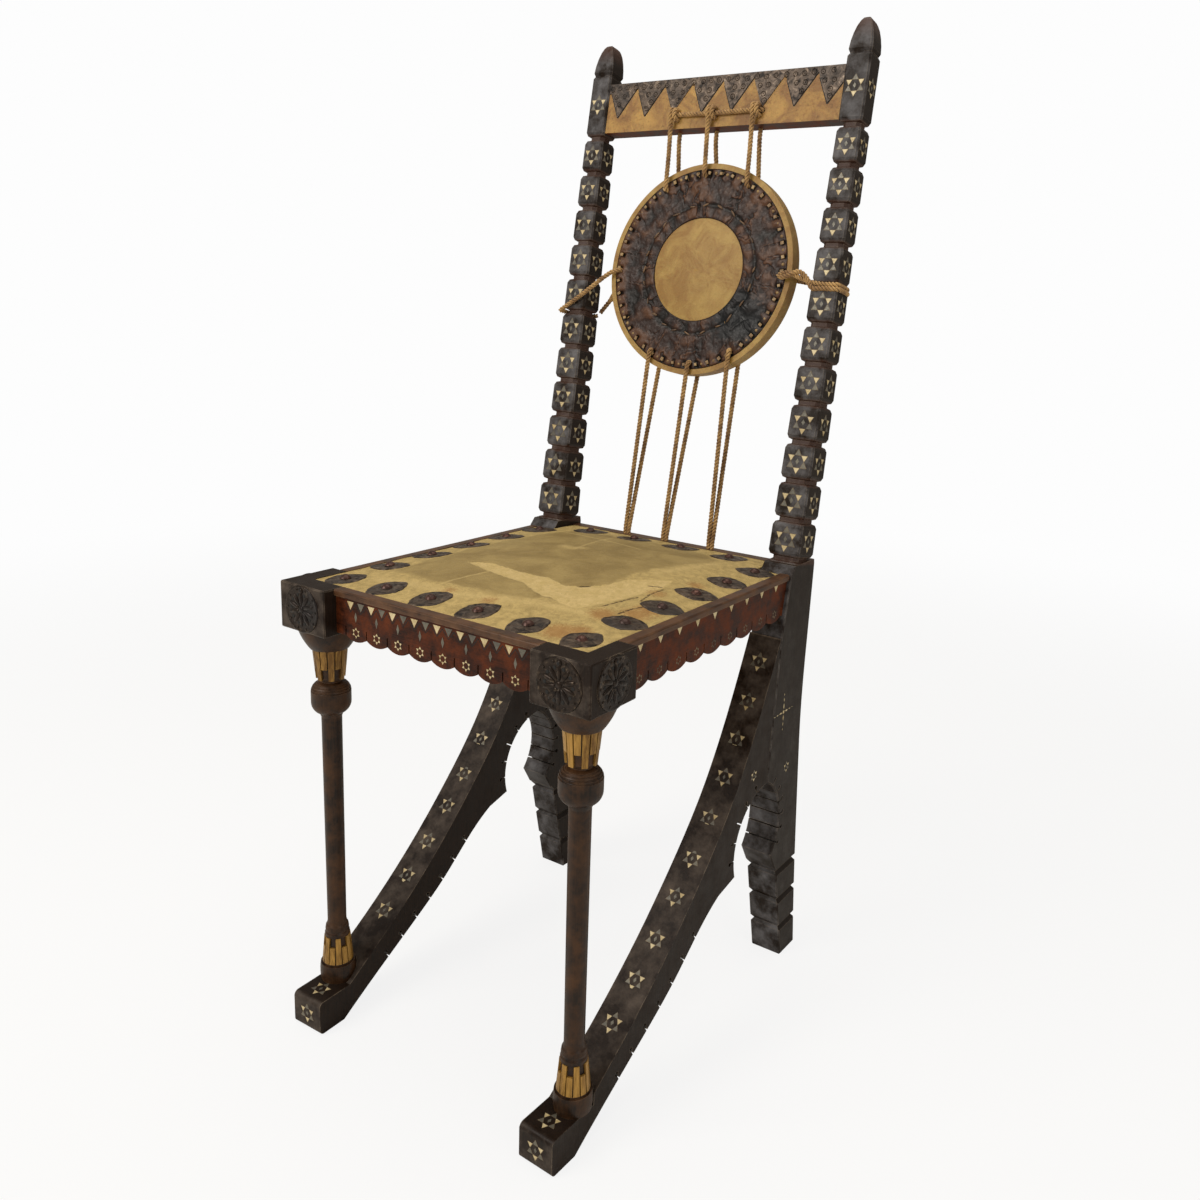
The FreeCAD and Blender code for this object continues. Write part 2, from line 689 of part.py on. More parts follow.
def front_leg():
    """Turned front leg: drum, ringed base, shaft, grooved ball, collar and spreading capital."""
    body = new_body("front_leg_right")
    low = d.foot_height
    high = d.seat_height - d.block_height

    def above_foot(table):
        return [(radius * d.ball_radius, low + level * d.turned_height) for radius, level in table]

    def under_block(table):
        return [(radius * d.ball_radius, high - (1 - level) * d.turned_height)
                for radius, level in table]

    pin = d.leg_pin_radius
    drum = above_foot(DRUM_SHARES)
    ball = under_block(BALL_SHARES)
    capital = under_block(CAPITAL_SHARES)
    loop = outline((0, low - d.leg_pin_low), (pin, low - d.leg_pin_low), (pin, low), drum[0],
                   (*drum[1], *drum[2]), *above_foot(BASE_SHARES + [SHAFT_FOOT_SHARES]),
                   *under_block(SHAFT_TOP_SHARES), (*ball[0], *ball[1]), ball[2],
                   (*ball[3], *ball[4]), *under_block(NECK_SHARES), (*capital[0], *capital[1]),
                   (pin, high), (pin, high + d.leg_pin_high), (0, high + d.leg_pin_high))
    drawn = sketch(body, "XZ_Plane", [loop])
    turning = body.newObject("PartDesign::Revolution", "Revolution")
    turning.Profile = drawn
    turning.ReferenceAxis = (drawn, ["V_Axis"])
    shoulder = Part.Arc(vec(*ball[2]), vec(*ball[3]), vec(*ball[4])).toShape()
    spots = shoulder.discretize(int(d.groove_count) + 3)[1:-2]
    rings = sketch(body, "XZ_Plane", [circle(spot.x, spot.y, d.groove_radius) for spot in spots])
    groove = body.newObject("PartDesign::Groove", "Groove")
    groove.Profile = rings
    groove.ReferenceAxis = (rings, ["V_Axis"])
    place = FreeCAD.Placement(vec(d.block_track, d.block_size / 2, 0), FreeCAD.Rotation())
    return keep(body, "front_leg_right", place)


def strip_ring(label, base, long_strip, short_strip, radius_low, radius_high, from_top):
    """Ring of flat strips, long and short in turn, flush at one end."""
    step = FULL_TURN / d.strip_count
    shapes = []
    slope = (radius_high - radius_low) / long_strip
    for number in range(int(d.strip_count)):
        length = short_strip if number % 2 else long_strip
        low = base + (long_strip - length if from_top else 0)
        reach_low = radius_low + slope * (low - base)
        reach_high = radius_low + slope * (low + length - base)
        points = [vec(reach_low - d.strip_thick, 0, low), vec(reach_low, 0, low),
                  vec(reach_high, 0, low + length), vec(reach_high - d.strip_thick, 0, low + length)]
        face = Part.Face(Part.makePolygon(points + points[:1]))
        strip = face.revolve(vec(), vec(0, 0, 1), step - d.strip_gap_angle)
        strip.rotate(vec(), vec(0, 0, 1), number * step)
        shapes.append(strip)
    place = FreeCAD.Placement(vec(d.block_track, d.block_size / 2, 0), FreeCAD.Rotation())
    return keep(solids(label, shapes), label, place)


def leg_strips():
    """Brass strips under the capital and above the drum of the right front leg."""
    low = d.foot_height
    collar = d.seat_height - d.block_height - d.collar_drop
    top = strip_ring("leg_top_strips_right", collar - d.top_strip_long, d.top_strip_long,
                     d.top_strip_short, d.top_strip_radius - d.top_strip_taper,
                     d.top_strip_radius, True)
    base = strip_ring("leg_base_strips_right", low + d.base_strip_low, d.base_strip_long,
                      d.base_strip_short, d.base_strip_radius,
                      d.base_strip_radius - d.base_strip_taper, False)
    return top, base


def corner_block():
    """Corner block over the front leg, rebated for the seat board and mortised for the aprons."""
    body = new_body("Block")
    half = d.block_size / 2
    middle, low = d.block_track, d.seat_height - d.block_height
    plan = rectangle(middle - half, 0, middle + half, d.block_size)
    base = pad(body, sketch(body, "XY_Plane", [plan], low), "Sizes.block_height")
    bevel(body, base, lambda edge: True)
    bore = circle(middle, half, d.leg_pin_radius + d.fit_gap)
    pocket(body, sketch(body, "XY_Plane", [bore], low), "Sizes.leg_pin_high + Sizes.fit_gap", True)
    for role, lift in (("XZ_Plane", 0.0), ("YZ_Plane", middle + half)):
        across = middle if role == "XZ_Plane" else half
        ring = circle(across, low + d.block_height / 2, d.roundel_radius + d.fit_gap)
        pocket(body, sketch(body, role, [ring], lift), "Sizes.roundel_sink")
    lip_in = "Sizes.block_track + Sizes.block_size / 2 - Sizes.side_setback + Sizes.lip_proud"
    tools = [box("SeatRebate", ("Sizes.block_track - Sizes.block_size / 2 - Sizes.overrun",
                                front_lip_inner(), board_low()),
                 (f"{lip_in} - Sizes.lip_width", "Sizes.block_size + Sizes.overrun",
                  "Sizes.seat_height + Sizes.overrun")),
             box("FrontMortise", ("Sizes.block_track - Sizes.block_size / 2 - Sizes.overrun",
                                  front_tenon("-"), mortise_low()),
                 ("Sizes.block_track - Sizes.block_size / 2 + Sizes.tenon_reach + Sizes.fit_gap",
                  front_tenon("+"), mortise_high())),
             box("SideMortise", (side_tenon("-"), "Sizes.block_size - Sizes.tenon_reach - Sizes.fit_gap",
                                 mortise_low()),
                 (side_tenon("+"), "Sizes.block_size + Sizes.overrun", mortise_high()))]
    return keep(cut(body, tools), "corner_block_right")


def front_lip_inner():
    """Inner edge of the front lip, as an expression."""
    return "Sizes.apron_setback - Sizes.lip_proud + Sizes.lip_width"


def board_low():
    """Underside of the seat board, as an expression."""
    return "Sizes.seat_height - Sizes.board_below_top - Sizes.board_thick"


def front_tenon(sign):
    """Front or rear face of the front apron's tenon hole, as an expression."""
    return ("Sizes.apron_setback + Sizes.apron_thick / 2"
            f" {sign} (Sizes.tenon_thick / 2 + Sizes.fit_gap)")


def side_tenon(sign):
    """Inner or outer face of the side apron's tenon hole, as an expression."""
    return ("Sizes.block_track + Sizes.block_size / 2 - Sizes.side_setback - Sizes.apron_thick / 2"
            f" {sign} (Sizes.tenon_thick / 2 + Sizes.fit_gap)")


def roundels():
    """Cast roundels let into the front and outer faces of the right block."""
    low = d.seat_height - d.block_height / 2
    half = d.block_size / 2
    thick = d.roundel_proud + d.roundel_sink
    shapes = []
    for base, way in ((vec(d.block_track, d.roundel_sink, low), vec(0, -1, 0)),
                      (vec(d.block_track + half - d.roundel_sink, half, low), vec(1, 0, 0))):
        disc = Part.makeCylinder(d.roundel_radius, thick, base, way)
        rim = [edge for edge in disc.Edges
               if edge.BoundBox.DiagonalLength > d.roundel_radius
               and (edge.CenterOfMass - base).dot(way) > thick - d.fit_gap]
        shapes.append(disc.makeChamfer(d.roundel_proud / 2, rim))
    return keep(solids("block_roundels_right", shapes), "block_roundels_right")


def scalloped(start, finish, pitch, top, end_points=()):
    """Apron face: straight top, and below as many rounded scallops as there is room for, with a
    slit between each pair."""
    low = top - d.apron_drop
    notch = low + d.scallop_rise
    half = d.slit_width / 2
    count = int((finish - start) / pitch)
    edge = start + (finish - start - count * pitch) / 2
    steps = [(start, notch)]
    for number in range(count + 1):
        steps += [(edge - half, notch), (edge - half, low + d.slit_height),
                  (edge + half, low + d.slit_height), (edge + half, notch)]
        if number < count:
            steps.append((edge + pitch / 2, low, edge + pitch - half, notch))
            edge += pitch
    steps += [(finish, notch), *(end_points or [(finish, top)])]
    cleaned = [step for index, step in enumerate(steps)
               if index == 0 or step[-2:] != steps[index - 1][-2:]]
    return outline((start, top), *cleaned)


def front_apron():
    """Front apron between the corner blocks, with its tenons and the seat board's rebate."""
    body = new_body("front_apron")
    half = d.block_track - d.block_size / 2
    top = d.seat_height - d.lip_height
    loop = scalloped(-half, half, d.front_scallop_pitch, top)
    pad(body, sketch(body, "XZ_Plane", [loop], -d.apron_setback), "Sizes.apron_thick", False, True)
    low = top - d.apron_drop + d.tenon_low
    tenon = rectangle(-half - d.tenon_reach, low, half + d.tenon_reach, low + d.tenon_tall)
    middle = d.apron_setback + d.apron_thick / 2
    pad(body, sketch(body, "XZ_Plane", [tenon], -middle), "Sizes.tenon_thick", True)
    inner = d.apron_setback - d.lip_proud + d.lip_width
    step = d.seat_height - d.board_below_top - d.board_thick
    rebate = rectangle(inner, step, d.apron_setback + d.apron_thick + d.overrun, top + d.overrun)
    pocket(body, sketch(body, "YZ_Plane", [rebate]))
    return keep(body, "front_apron")


def side_apron():
    """Right apron from the corner block to the leg, whose slope it follows."""
    body = new_body("right_apron")
    face = d.block_track + d.block_size / 2 - d.side_setback
    top = d.seat_height - d.lip_height
    foot = leg_front(top - d.apron_drop + d.scallop_rise)
    knee = leg_point(LEG_HEAD_SHARES[3])[1]
    loop = scalloped(d.block_size, foot, d.side_scallop_pitch, top,
                     [(leg_front(knee), knee), (leg_front(top), top)])
    pad(body, sketch(body, "YZ_Plane", [loop], face), "Sizes.apron_thick", False, True)
    low = top - d.apron_drop + d.tenon_low
    tenon = rectangle(d.block_size - d.tenon_reach, low, leg_front(low) + d.tenon_reach / 2,
                      low + d.tenon_tall)
    pad(body, sketch(body, "YZ_Plane", [tenon], face - d.apron_thick / 2), "Sizes.tenon_thick", True)
    inner = face + d.lip_proud - d.lip_width
    step = d.seat_height - d.board_below_top - d.board_thick
    rebate = rectangle(inner, step, face - d.apron_thick - d.overrun, top + d.overrun)
    pocket(body, sketch(body, "XZ_Plane", [rebate]))
    return keep(body, "right_apron")


def leg_front(level):
    """How far back the leg's front face lies at a height under the seat."""
    low, mid = leg_point(LEG_HEAD_SHARES[3]), leg_point(LEG_HEAD_SHARES[2])
    joint = leg_point(LEG_JOINT_TOP_SHARES)
    if level > low[1]:
        return low[0] + (mid[0] - low[0]) * (level - low[1]) / (mid[1] - low[1]) - d.fit_gap
    return joint[0] + (low[0] - joint[0]) * (level - joint[1]) / (low[1] - joint[1]) - d.fit_gap


def rear_rail():
    """Rear seat rail between the legs, slotted for the ropes."""
    inner = "Sizes.half_width - Sizes.leg_width"
    front = "Sizes.seat_depth + Sizes.rear_rail_front"
    top = "Sizes.seat_height - Sizes.lip_height"
    rail = box("Rail", (f"-({inner})", front, f"{top} - Sizes.apron_drop"),
               (inner, f"{front} + Sizes.rear_rail_thick", top))
    tenon = box("Tenon", (f"-({inner}) - Sizes.tenon_reach",
                          rear_tenon("-") + " + Sizes.fit_gap", mortise_low() + " + Sizes.fit_gap"),
                (f"{inner} + Sizes.tenon_reach", rear_tenon("+") + " - Sizes.fit_gap",
                 mortise_high() + " - Sizes.fit_gap"))
    rebate = box("Rebate", (f"-({inner}) - Sizes.overrun", f"{front} - Sizes.overrun", board_low()),
                 (f"{inner} + Sizes.overrun", rear_lip_inner(), f"{top} + Sizes.overrun"))
    peg = seat_peg(d.peg_radius, d.overrun)
    tools = [rebate, *seat_rope_slots(), solids("Bores", [peg, peg.mirror(vec(), vec(1, 0, 0))])]
    return keep(cut(fuse([rail, tenon]), tools), "rear_rail")


def rear_lip_inner():
    """Inner edge of the rear lip, as an expression."""
    return ("Sizes.seat_depth + Sizes.rear_rail_front + Sizes.rear_rail_thick"
            " - Sizes.rear_lip_width + Sizes.rear_lip_proud")


def seat_rope_back():
    """How far back the ropes enter the seat's rear edge."""
    return d.seat_depth + d.rear_rail_front + d.rear_rail_thick - d.seat_rope_inset


def seat_rope_slots():
    """Slots for the three pairs of lower ropes, through the rear lip and into the rail."""
    shapes = []
    for share in SEAT_HOLE_SHARES:
        for way in (-1, 1):
            centre = vec(share * d.half_width + way * d.rope_size * STRAND_SHARE, seat_rope_back(),
                         d.seat_height - 2 * d.rope_dive)
            shapes.append(Part.makeCylinder(d.rope_size / 2 + 3 * d.fit_gap, 2 * d.rope_dive + d.overrun,
                                            centre))
    return [solids("RopeSlots", shapes)]


def lip_section(outer, inner, top):
    """Section of a lip: flat below, its outer top edge rounded."""
    way = 1 if inner > outer else -1
    turn = d.lip_round * (1 - math.sqrt(0.5))
    low = top - d.lip_height
    return outline((inner, low), (inner, top), (outer + way * d.lip_round, top),
                   (outer + way * turn, top - turn, outer, top - d.lip_round), (outer, low))


def lips():
    """Moulded lips round the seat: front, right and rear."""
    top = d.seat_height
    front = new_body("front_lip")
    outer = d.apron_setback - d.lip_proud
    section = lip_section(outer, outer + d.lip_width, top)
    pad(front, sketch(front, "YZ_Plane", [section]), "2 * Sizes.block_track - Sizes.block_size", True)
    keep(front, "front_lip")
    side = new_body("right_lip")
    outer = d.block_track + d.block_size / 2 - d.side_setback + d.lip_proud
    section = lip_section(outer, outer - d.lip_width, top)
    pad(side, sketch(side, "XZ_Plane", [section], -d.block_size),
        leg_front(top - d.lip_height) - d.block_size, False, True)
    keep(side, "right_lip")
    rear = new_body("RearLip")
    outer = d.seat_depth + d.rear_rail_front + d.rear_rail_thick + d.rear_lip_proud
    section = lip_section(outer, outer - d.rear_lip_width, top)
    pad(rear, sketch(rear, "YZ_Plane", [section]),
        "2 * (Sizes.half_width - Sizes.post_width_seat - Sizes.fit_gap)", True)
    keep(cut(rear, seat_rope_slots()), "rear_lip")
    return side


def seat_edges():
    """Half width, front edge and rear edge of the seat board."""
    side = d.block_track + d.block_size / 2 - d.side_setback + d.lip_proud - d.lip_width
    front = d.apron_setback - d.lip_proud + d.lip_width
    rear = (d.seat_depth + d.rear_rail_front + d.rear_rail_thick + d.rear_lip_proud
            - d.rear_lip_width)
    return side - d.fit_gap, front + d.fit_gap, rear - d.fit_gap


def post_notches(name):
    """Blocks that clear the two legs out of whatever lies over the seat frame."""
    start = "Sizes.seat_depth - Sizes.leg_spread / 4 + Sizes.fit_gap"
    inner = "Sizes.half_width - Sizes.post_width_seat - Sizes.fit_gap"
    past = "Sizes.half_width + Sizes.overrun"
    low = "Sizes.seat_height - Sizes.block_height"
    high = "Sizes.seat_height + Sizes.block_height"
    back = "Sizes.seat_depth + Sizes.leg_spread"
    return [box(name, (inner, start, low), (past, back, high)),
            box(name, (f"-({past})", start, low), (f"-({inner})", back, high))]


def seat_board():
    """Board that carries the padding, notched round the legs."""
    side, front, rear = seat_edges()
    body = new_body("Board")
    low = d.seat_height - d.board_below_top - d.board_thick
    plan = rectangle(-side, front, side, rear)
    pad(body, sketch(body, "XY_Plane", [plan], low), "Sizes.board_thick")
    return keep(cut(body, post_notches("Notch")), "seat_board")


def crown(x, y):
    """Height of the padding's crown above the board at a point of the seat. It is arched a little
    along the front and rear edges too."""
    side, front, rear = seat_edges()
    middle, half = (front + rear) / 2, (rear - front) / 2
    across, along = 1 - (x / side) ** 2, 1 - ((y - middle) / half) ** 2
    return d.border_rise * (1 + across) + d.crown_height * across * along


def crowned(inset, low_at, high_at):
    """Crowned solid between two heights, lofted through arched sections from front to back."""
    side, front, rear = seat_edges()
    sections = []
    for number in range(SEAT_SECTIONS + 1):
        y = front + inset + (rear - front - 2 * inset) * number / SEAT_SECTIONS
        edge = side - inset
        low_end, low_mid = low_at(edge, y), low_at(0.0, y)
        high_end, high_mid = high_at(edge, y), high_at(0.0, y)
        left_low, right_low = vec(-edge, y, low_end), vec(edge, y, low_end)
        left_high, right_high = vec(-edge, y, high_end), vec(edge, y, high_end)
        under = (Part.LineSegment(left_low, right_low) if abs(low_mid - low_end) < d.fit_gap / 2
                 else Part.Arc(left_low, vec(0, y, low_mid), right_low))
        over = Part.Arc(right_high, vec(0, y, high_mid), left_high)
        sections.append(Part.Wire([under.toShape(), Part.LineSegment(right_low, right_high).toShape(),
                                   over.toShape(), Part.LineSegment(left_high, left_low).toShape()]))
    return Part.makeLoft(sections, True, False)


def seat_soft():
    """Padding with its crown, and the vellum stretched over it."""
    board = d.seat_height - d.board_below_top

    def skin(x, y):
        return board + crown(x, y)

    vellum = solids("Vellum", [crowned(0.0, skin, lambda x, y: skin(x, y) + d.vellum_thick)])
    keep(cut(vellum, post_notches("Notch") + seat_rope_slots()), "seat_vellum")
    padding = solids("Padding", [crowned(d.padding_inset, lambda x, y: board,
                                         lambda x, y: skin(x, y) - d.fit_gap)])
    keep(cut(padding, post_notches("Notch") + seat_rope_slots()), "seat_padding")


def plate_places():
    """Places and turns of the leaf plates round the seat's border."""
    _, _, rear = seat_edges()
    face = d.block_track + d.block_size / 2 - d.side_setback + d.lip_proud
    front_row = d.apron_setback - d.lip_proud + d.plate_end_inset
    places = []
    for number in range(int(d.front_plate_pairs)):
        across = d.front_plate_pitch * (number + 1 / 2)
        places += [(across, front_row, d.front_plate_angle), (-across, front_row, d.front_plate_angle)]
    for number in range(1, int(d.side_plate_pairs) + 1):
        along = front_row + d.side_plate_pitch * number
        across = face - d.plate_side_inset
        places += [(across, along, d.side_plate_angle), (-across, along, d.side_plate_angle)]
    for number in range(int(d.back_plate_pairs)):
        across = d.back_plate_pitch * (number + 1 / 2)
        back = rear - d.back_plate_inset
        places += [(across, back, d.side_plate_angle), (-across, back, d.side_plate_angle)]
    return places


def seat_normal(x, y):
    """Direction square to the crowned seat at a point."""
    step = d.nail_radius
    slope_x = (crown(x + step, y) - crown(x - step, y)) / (2 * step)
    slope_y = (crown(x, y + step) - crown(x, y - step)) / (2 * step)
    return vec(-slope_x, -slope_y, 1).normalize()


def plates_and_nails():
    """Pointed metal plates on the vellum, each held by a domed nail."""
    leaves = []
    nails = []
    tip, belly = d.plate_length / 2, d.plate_width / 2
    edges = outline((-tip, 0), (0, -belly, tip, 0), (0, belly, -tip, 0))
    leaf = Part.Face(Part.Wire([edge.toShape() for edge in edges])).extrude(vec(0, 0, d.plate_thick))
    reach = (d.nail_radius ** 2 + d.nail_dome ** 2) / (2 * d.nail_dome)
    latitude = math.degrees(math.asin((reach - d.nail_dome) / reach))
    cap = Part.makeSphere(reach, vec(0, 0, d.nail_dome - reach), vec(0, 0, 1), latitude,
                          QUARTER_TURN)
    skin = d.seat_height - d.board_below_top + d.vellum_thick + d.border_rise + d.fit_gap
    for x, y, angle in plate_places():
        up = seat_normal(x, y)
        seat = FreeCAD.Placement(vec(x, y, skin + crown(x, y)), FreeCAD.Rotation(vec(0, 0, 1), up))
        spin = turned(vec(0, 0, 1), angle)
        plate = leaf.copy()
        plate.Placement = seat.multiply(spin)
        leaves.append(plate)
        nail = cap.copy()
        lift = FreeCAD.Placement(vec(0, 0, d.plate_thick), FreeCAD.Rotation())
        nail.Placement = seat.multiply(lift).multiply(nail.Placement)
        nails.append(nail)
    keep(solids("leaf_plates", leaves), "leaf_plates")
    keep(solids("seat_nails", nails), "seat_nails")


def crest_bores():
    """Holes in the crest rail for the ropes, in the lean of the posts."""
    shapes = []
    level = d.crest_low + d.rail_rope_height
    for way in (-1, 1):
        shapes.append(Part.makeCylinder(d.rope_bore, d.rope_dive + d.overrun,
                                        vec(way * d.rail_rope_half, -d.overrun, level), vec(0, 1, 0)))
    for angle in UPPER_HOLE_ANGLES:
        shapes.append(Part.makeCylinder(d.rope_bore, d.rope_dive + d.overrun,
                                        vec(rope_hole(angle).x, crest_rope_depth(),
                                            d.crest_low - d.overrun), vec(0, 0, 1)))
    return shapes


def crest_rope_depth():
    """How far behind the posts' front plane the rear strands enter the crest rail."""
    return d.crest_inset + d.crest_depth * CREST_ROPE_SHARE


def rope_hole(angle):
    """Middle of a rope hole in the shield's front plane."""
    turn = math.radians(angle)
    return vec(d.hole_circle * math.sin(turn), 0, d.shield_height + d.hole_circle * math.cos(turn))


def crest_parts():
    """Crest rail with tenons, its vellum facing and the saw-toothed metal over it."""
    inner = d.half_width - d.post_width_head
    depth = d.crest_inset + d.crest_vellum + d.crest_metal
    rail = solids("Rail", [Part.makeBox(2 * inner, d.crest_depth - d.crest_vellum - d.crest_metal,
                                        d.crest_height, vec(-inner, depth, d.crest_low))])
    tenons = [crest_tenon_box(0.0, 0.0), crest_tenon_box(0.0, 0.0).mirror(vec(), vec(1, 0, 0))]
    pegs = [head_peg(d.peg_radius, d.overrun),
            head_peg(d.peg_radius, d.overrun).mirror(vec(), vec(1, 0, 0))]
    keep(cut(fuse([rail, *[solids("Tenon", [tenon]) for tenon in tenons]]),
             [solids("Bores", crest_bores() + pegs)]), "crest_rail", lean())
    facing = new_body("Facing")
    low, high = d.crest_low, d.crest_low + d.crest_height
    plan = rectangle(-inner + d.fit_gap, low, inner - d.fit_gap, high)
    pad(facing, sketch(facing, "XZ_Plane", [plan], -depth + d.crest_vellum), "Sizes.crest_vellum",
        False, True)
    keep(cut(facing, [solids("Bores", crest_bores())]), "crest_vellum", lean())
    keep(crest_teeth(inner), "crest_metal_teeth", lean())
    reach = (d.stud_radius ** 2 + d.stud_dome ** 2) / (2 * d.stud_dome)
    latitude = math.degrees(math.asin((reach - d.stud_dome) / reach))
    foot = vec(d.stud_inset - inner, d.crest_inset + d.crest_depth / 2,
               d.crest_low + d.crest_height + d.crest_metal)
    stud = Part.makeSphere(reach, foot - vec(0, 0, reach - d.stud_dome), vec(0, 0, 1), latitude,
                           QUARTER_TURN)
    keep(solids("crest_stud", [stud]), "crest_stud", lean())


def crest_teeth(inner):
    """Saw-toothed sheet on the rail's front, folded back over its top and cut off at the heads."""
    body = new_body("Teeth")
    low, high = d.crest_low, d.crest_low + d.crest_height + d.crest_metal
    ends = inner - 2 * d.fit_gap
    pairs = int(ends / d.tooth_pitch + 1 / 2)
    past = max(ends, d.tooth_pitch * (pairs - 1 / 2) + d.tooth_right_run) + d.overrun
    steps = [(-past, high), (past, high), (past, low + d.tooth_right)]
    for number in reversed(range(-pairs, pairs)):
        tip = d.tooth_pitch * (number + 1 / 2)
        steps += [(tip + d.tooth_right_run, low + d.tooth_right), (tip, low + d.tooth_tip),
                  (tip - d.tooth_left_run, low + d.tooth_left)]
    steps.append((-past, low + d.tooth_left))
    pad(body, sketch(body, "XZ_Plane", [outline(steps[0], *steps[1:])], -d.crest_inset),
        "Sizes.crest_metal", False, True)
    fold = rectangle(d.crest_inset, high - d.crest_metal, d.crest_inset + d.crest_depth, high)
    pad(body, sketch(body, "YZ_Plane", [fold]), 2 * ends, True)
    spare = [rectangle(way * ends, low, way * (past + d.overrun), high + d.overrun)
             for way in (-1, 1)]
    pocket(body, sketch(body, "XZ_Plane", spare))
    return body


def head_peg(radius, past):
    """Peg through the crest tenon on the right, driven in from behind."""
    base = vec(d.half_width - d.post_width_head + d.crest_tenon / 2,
               d.post_depth_head - d.peg_length, d.crest_low + d.crest_height / 2)
    return Part.makeCylinder(radius, d.peg_length + past, base, vec(0, 1, 0))


def seat_peg(radius, past):
    """Peg through the rear rail's tenon on the right, driven in from behind."""
    level = d.seat_height - d.lip_height - d.apron_drop + d.tenon_low + d.tenon_tall / 2
    back = d.seat_depth + d.leg_spread * PEG_BACK_SHARE
    base = vec(d.half_width - d.leg_width + d.tenon_reach / 2, back - d.peg_length, level)
    return Part.makeCylinder(radius, d.peg_length + past, base, vec(0, 1, 0))


def round_holes():
    """All rope holes of the shield as loops."""
    angles = UPPER_HOLE_ANGLES + LOWER_HOLE_ANGLES + TIE_HOLE_ANGLES
    return [circle(rope_hole(angle).x, rope_hole(angle).z, d.rope_bore) for angle in angles]


def shield_layer(label, front, thickness, inner=0.0, holes=True, outer=None):
    """A flat round layer of the shield."""
    body = new_body(label)
    reach = outer or d.shield_radius - d.hoop_wall - d.fit_gap
    loops = [circle(0, d.shield_height, reach)]
    if inner:
        loops.append(circle(0, d.shield_height, inner))
    if holes:
        loops += round_holes()
    pad(body, sketch(body, "XZ_Plane", loops, -front), thickness, False, True)
    return keep(body, label, lean())


def shield():
    """Round back shield: hoop, core, leather ring, domed boss, back skin and pins."""
    front = d.shield_front
    shield_layer("disc_hoop", front, "Sizes.shield_thick", d.shield_radius - d.hoop_wall, False,
                 d.shield_radius)
    shield_layer("disc_core", front + d.ring_thick,
                 "Sizes.shield_thick - Sizes.ring_thick - Sizes.skin_thick")
    shield_layer("disc_back", front + d.shield_thick - d.skin_thick, "Sizes.skin_thick")
    shield_layer("disc_leather_ring", front, "Sizes.ring_thick", d.boss_radius + d.fit_gap)
    boss = new_body("disc_centre")
    seat, rim = front + d.ring_thick, front + d.ring_thick - d.boss_edge
    reach = (d.boss_radius ** 2 + d.boss_dome ** 2) / (2 * d.boss_dome)
    half = math.asin(d.boss_radius / reach) / 2
    between = (reach * math.sin(half), rim - d.boss_dome + reach * (1 - math.cos(half)))
    loop = outline((0, seat), (d.boss_radius, seat), (d.boss_radius, rim),
                   (*between, 0, rim - d.boss_dome))
    drawn = sketch(boss, "XY_Plane", [loop])
    turning = boss.newObject("PartDesign::Revolution", "Revolution")
    turning.Profile = drawn
    turning.ReferenceAxis = (drawn, ["V_Axis"])
    place = lean().multiply(FreeCAD.Placement(vec(0, 0, d.shield_height), FreeCAD.Rotation()))
    keep(boss, "disc_centre", place)
    reach = (d.pin_radius ** 2 + d.pin_height ** 2) / (2 * d.pin_height)
    latitude = math.degrees(math.asin((reach - d.pin_height) / reach))
    pins = []
    clear = math.degrees((d.rope_bore + d.pin_radius + d.fit_gap) / d.pin_circle)
    holes = UPPER_HOLE_ANGLES + LOWER_HOLE_ANGLES + TIE_HOLE_ANGLES
    for number in range(int(d.pin_count)):
        angle = FULL_TURN * (number + 1 / 2) / d.pin_count
        if any(math.cos(math.radians(angle - hole)) > math.cos(math.radians(clear))
               for hole in holes):
            continue
        turn = math.radians(angle)
        foot = vec(d.pin_circle * math.sin(turn), front, d.shield_height + d.pin_circle * math.cos(turn))
        pins.append(Part.makeSphere(reach, foot + vec(0, reach - d.pin_height, 0), vec(0, -1, 0),
                                    latitude, QUARTER_TURN))
    keep(solids("disc_pins", pins), "disc_pins", lean())


def rope(name, points):
    """A taut rope along straight runs joined by tangent arcs."""
    edges = []
    start = points[0]
    radii = []
    for before, corner, after in zip(points, points[1:], points[2:]):
        back, ahead = (before - corner).normalize(), (after - corner).normalize()
        half = (math.pi - back.getAngle(ahead)) / 2
        shorter = min((before - corner).Length, (after - corner).Length)
        radius = min(d.rope_bend, BEND_SHARE * shorter / math.tan(half))
        reach = radius * math.tan(half)
        inward = (back + ahead).normalize() * (radius / math.cos(half) - radius)
        enter, leave = corner + back * reach, corner + ahead * reach
        edges.append(Part.LineSegment(start, enter).toShape())
        edges.append(Part.Arc(enter, corner + inward, leave).toShape())
        radii.append(round(radius, 1))
        start = leave
    edges.append(Part.LineSegment(start, points[-1]).toShape())
    path = Part.Wire(edges)
    section = Part.Wire(Part.makeCircle(d.rope_size / 2, points[0], points[1] - points[0]))
    tube = path.makePipeShell([section], True, False)
    expected = path.Length * math.pi * d.rope_size ** 2 / 4
    print(f"{name}: length {path.Length:.0f}, radii {radii}, volume share {tube.Volume / expected:.3f}")
    return keep(solids(name, [tube]), name)


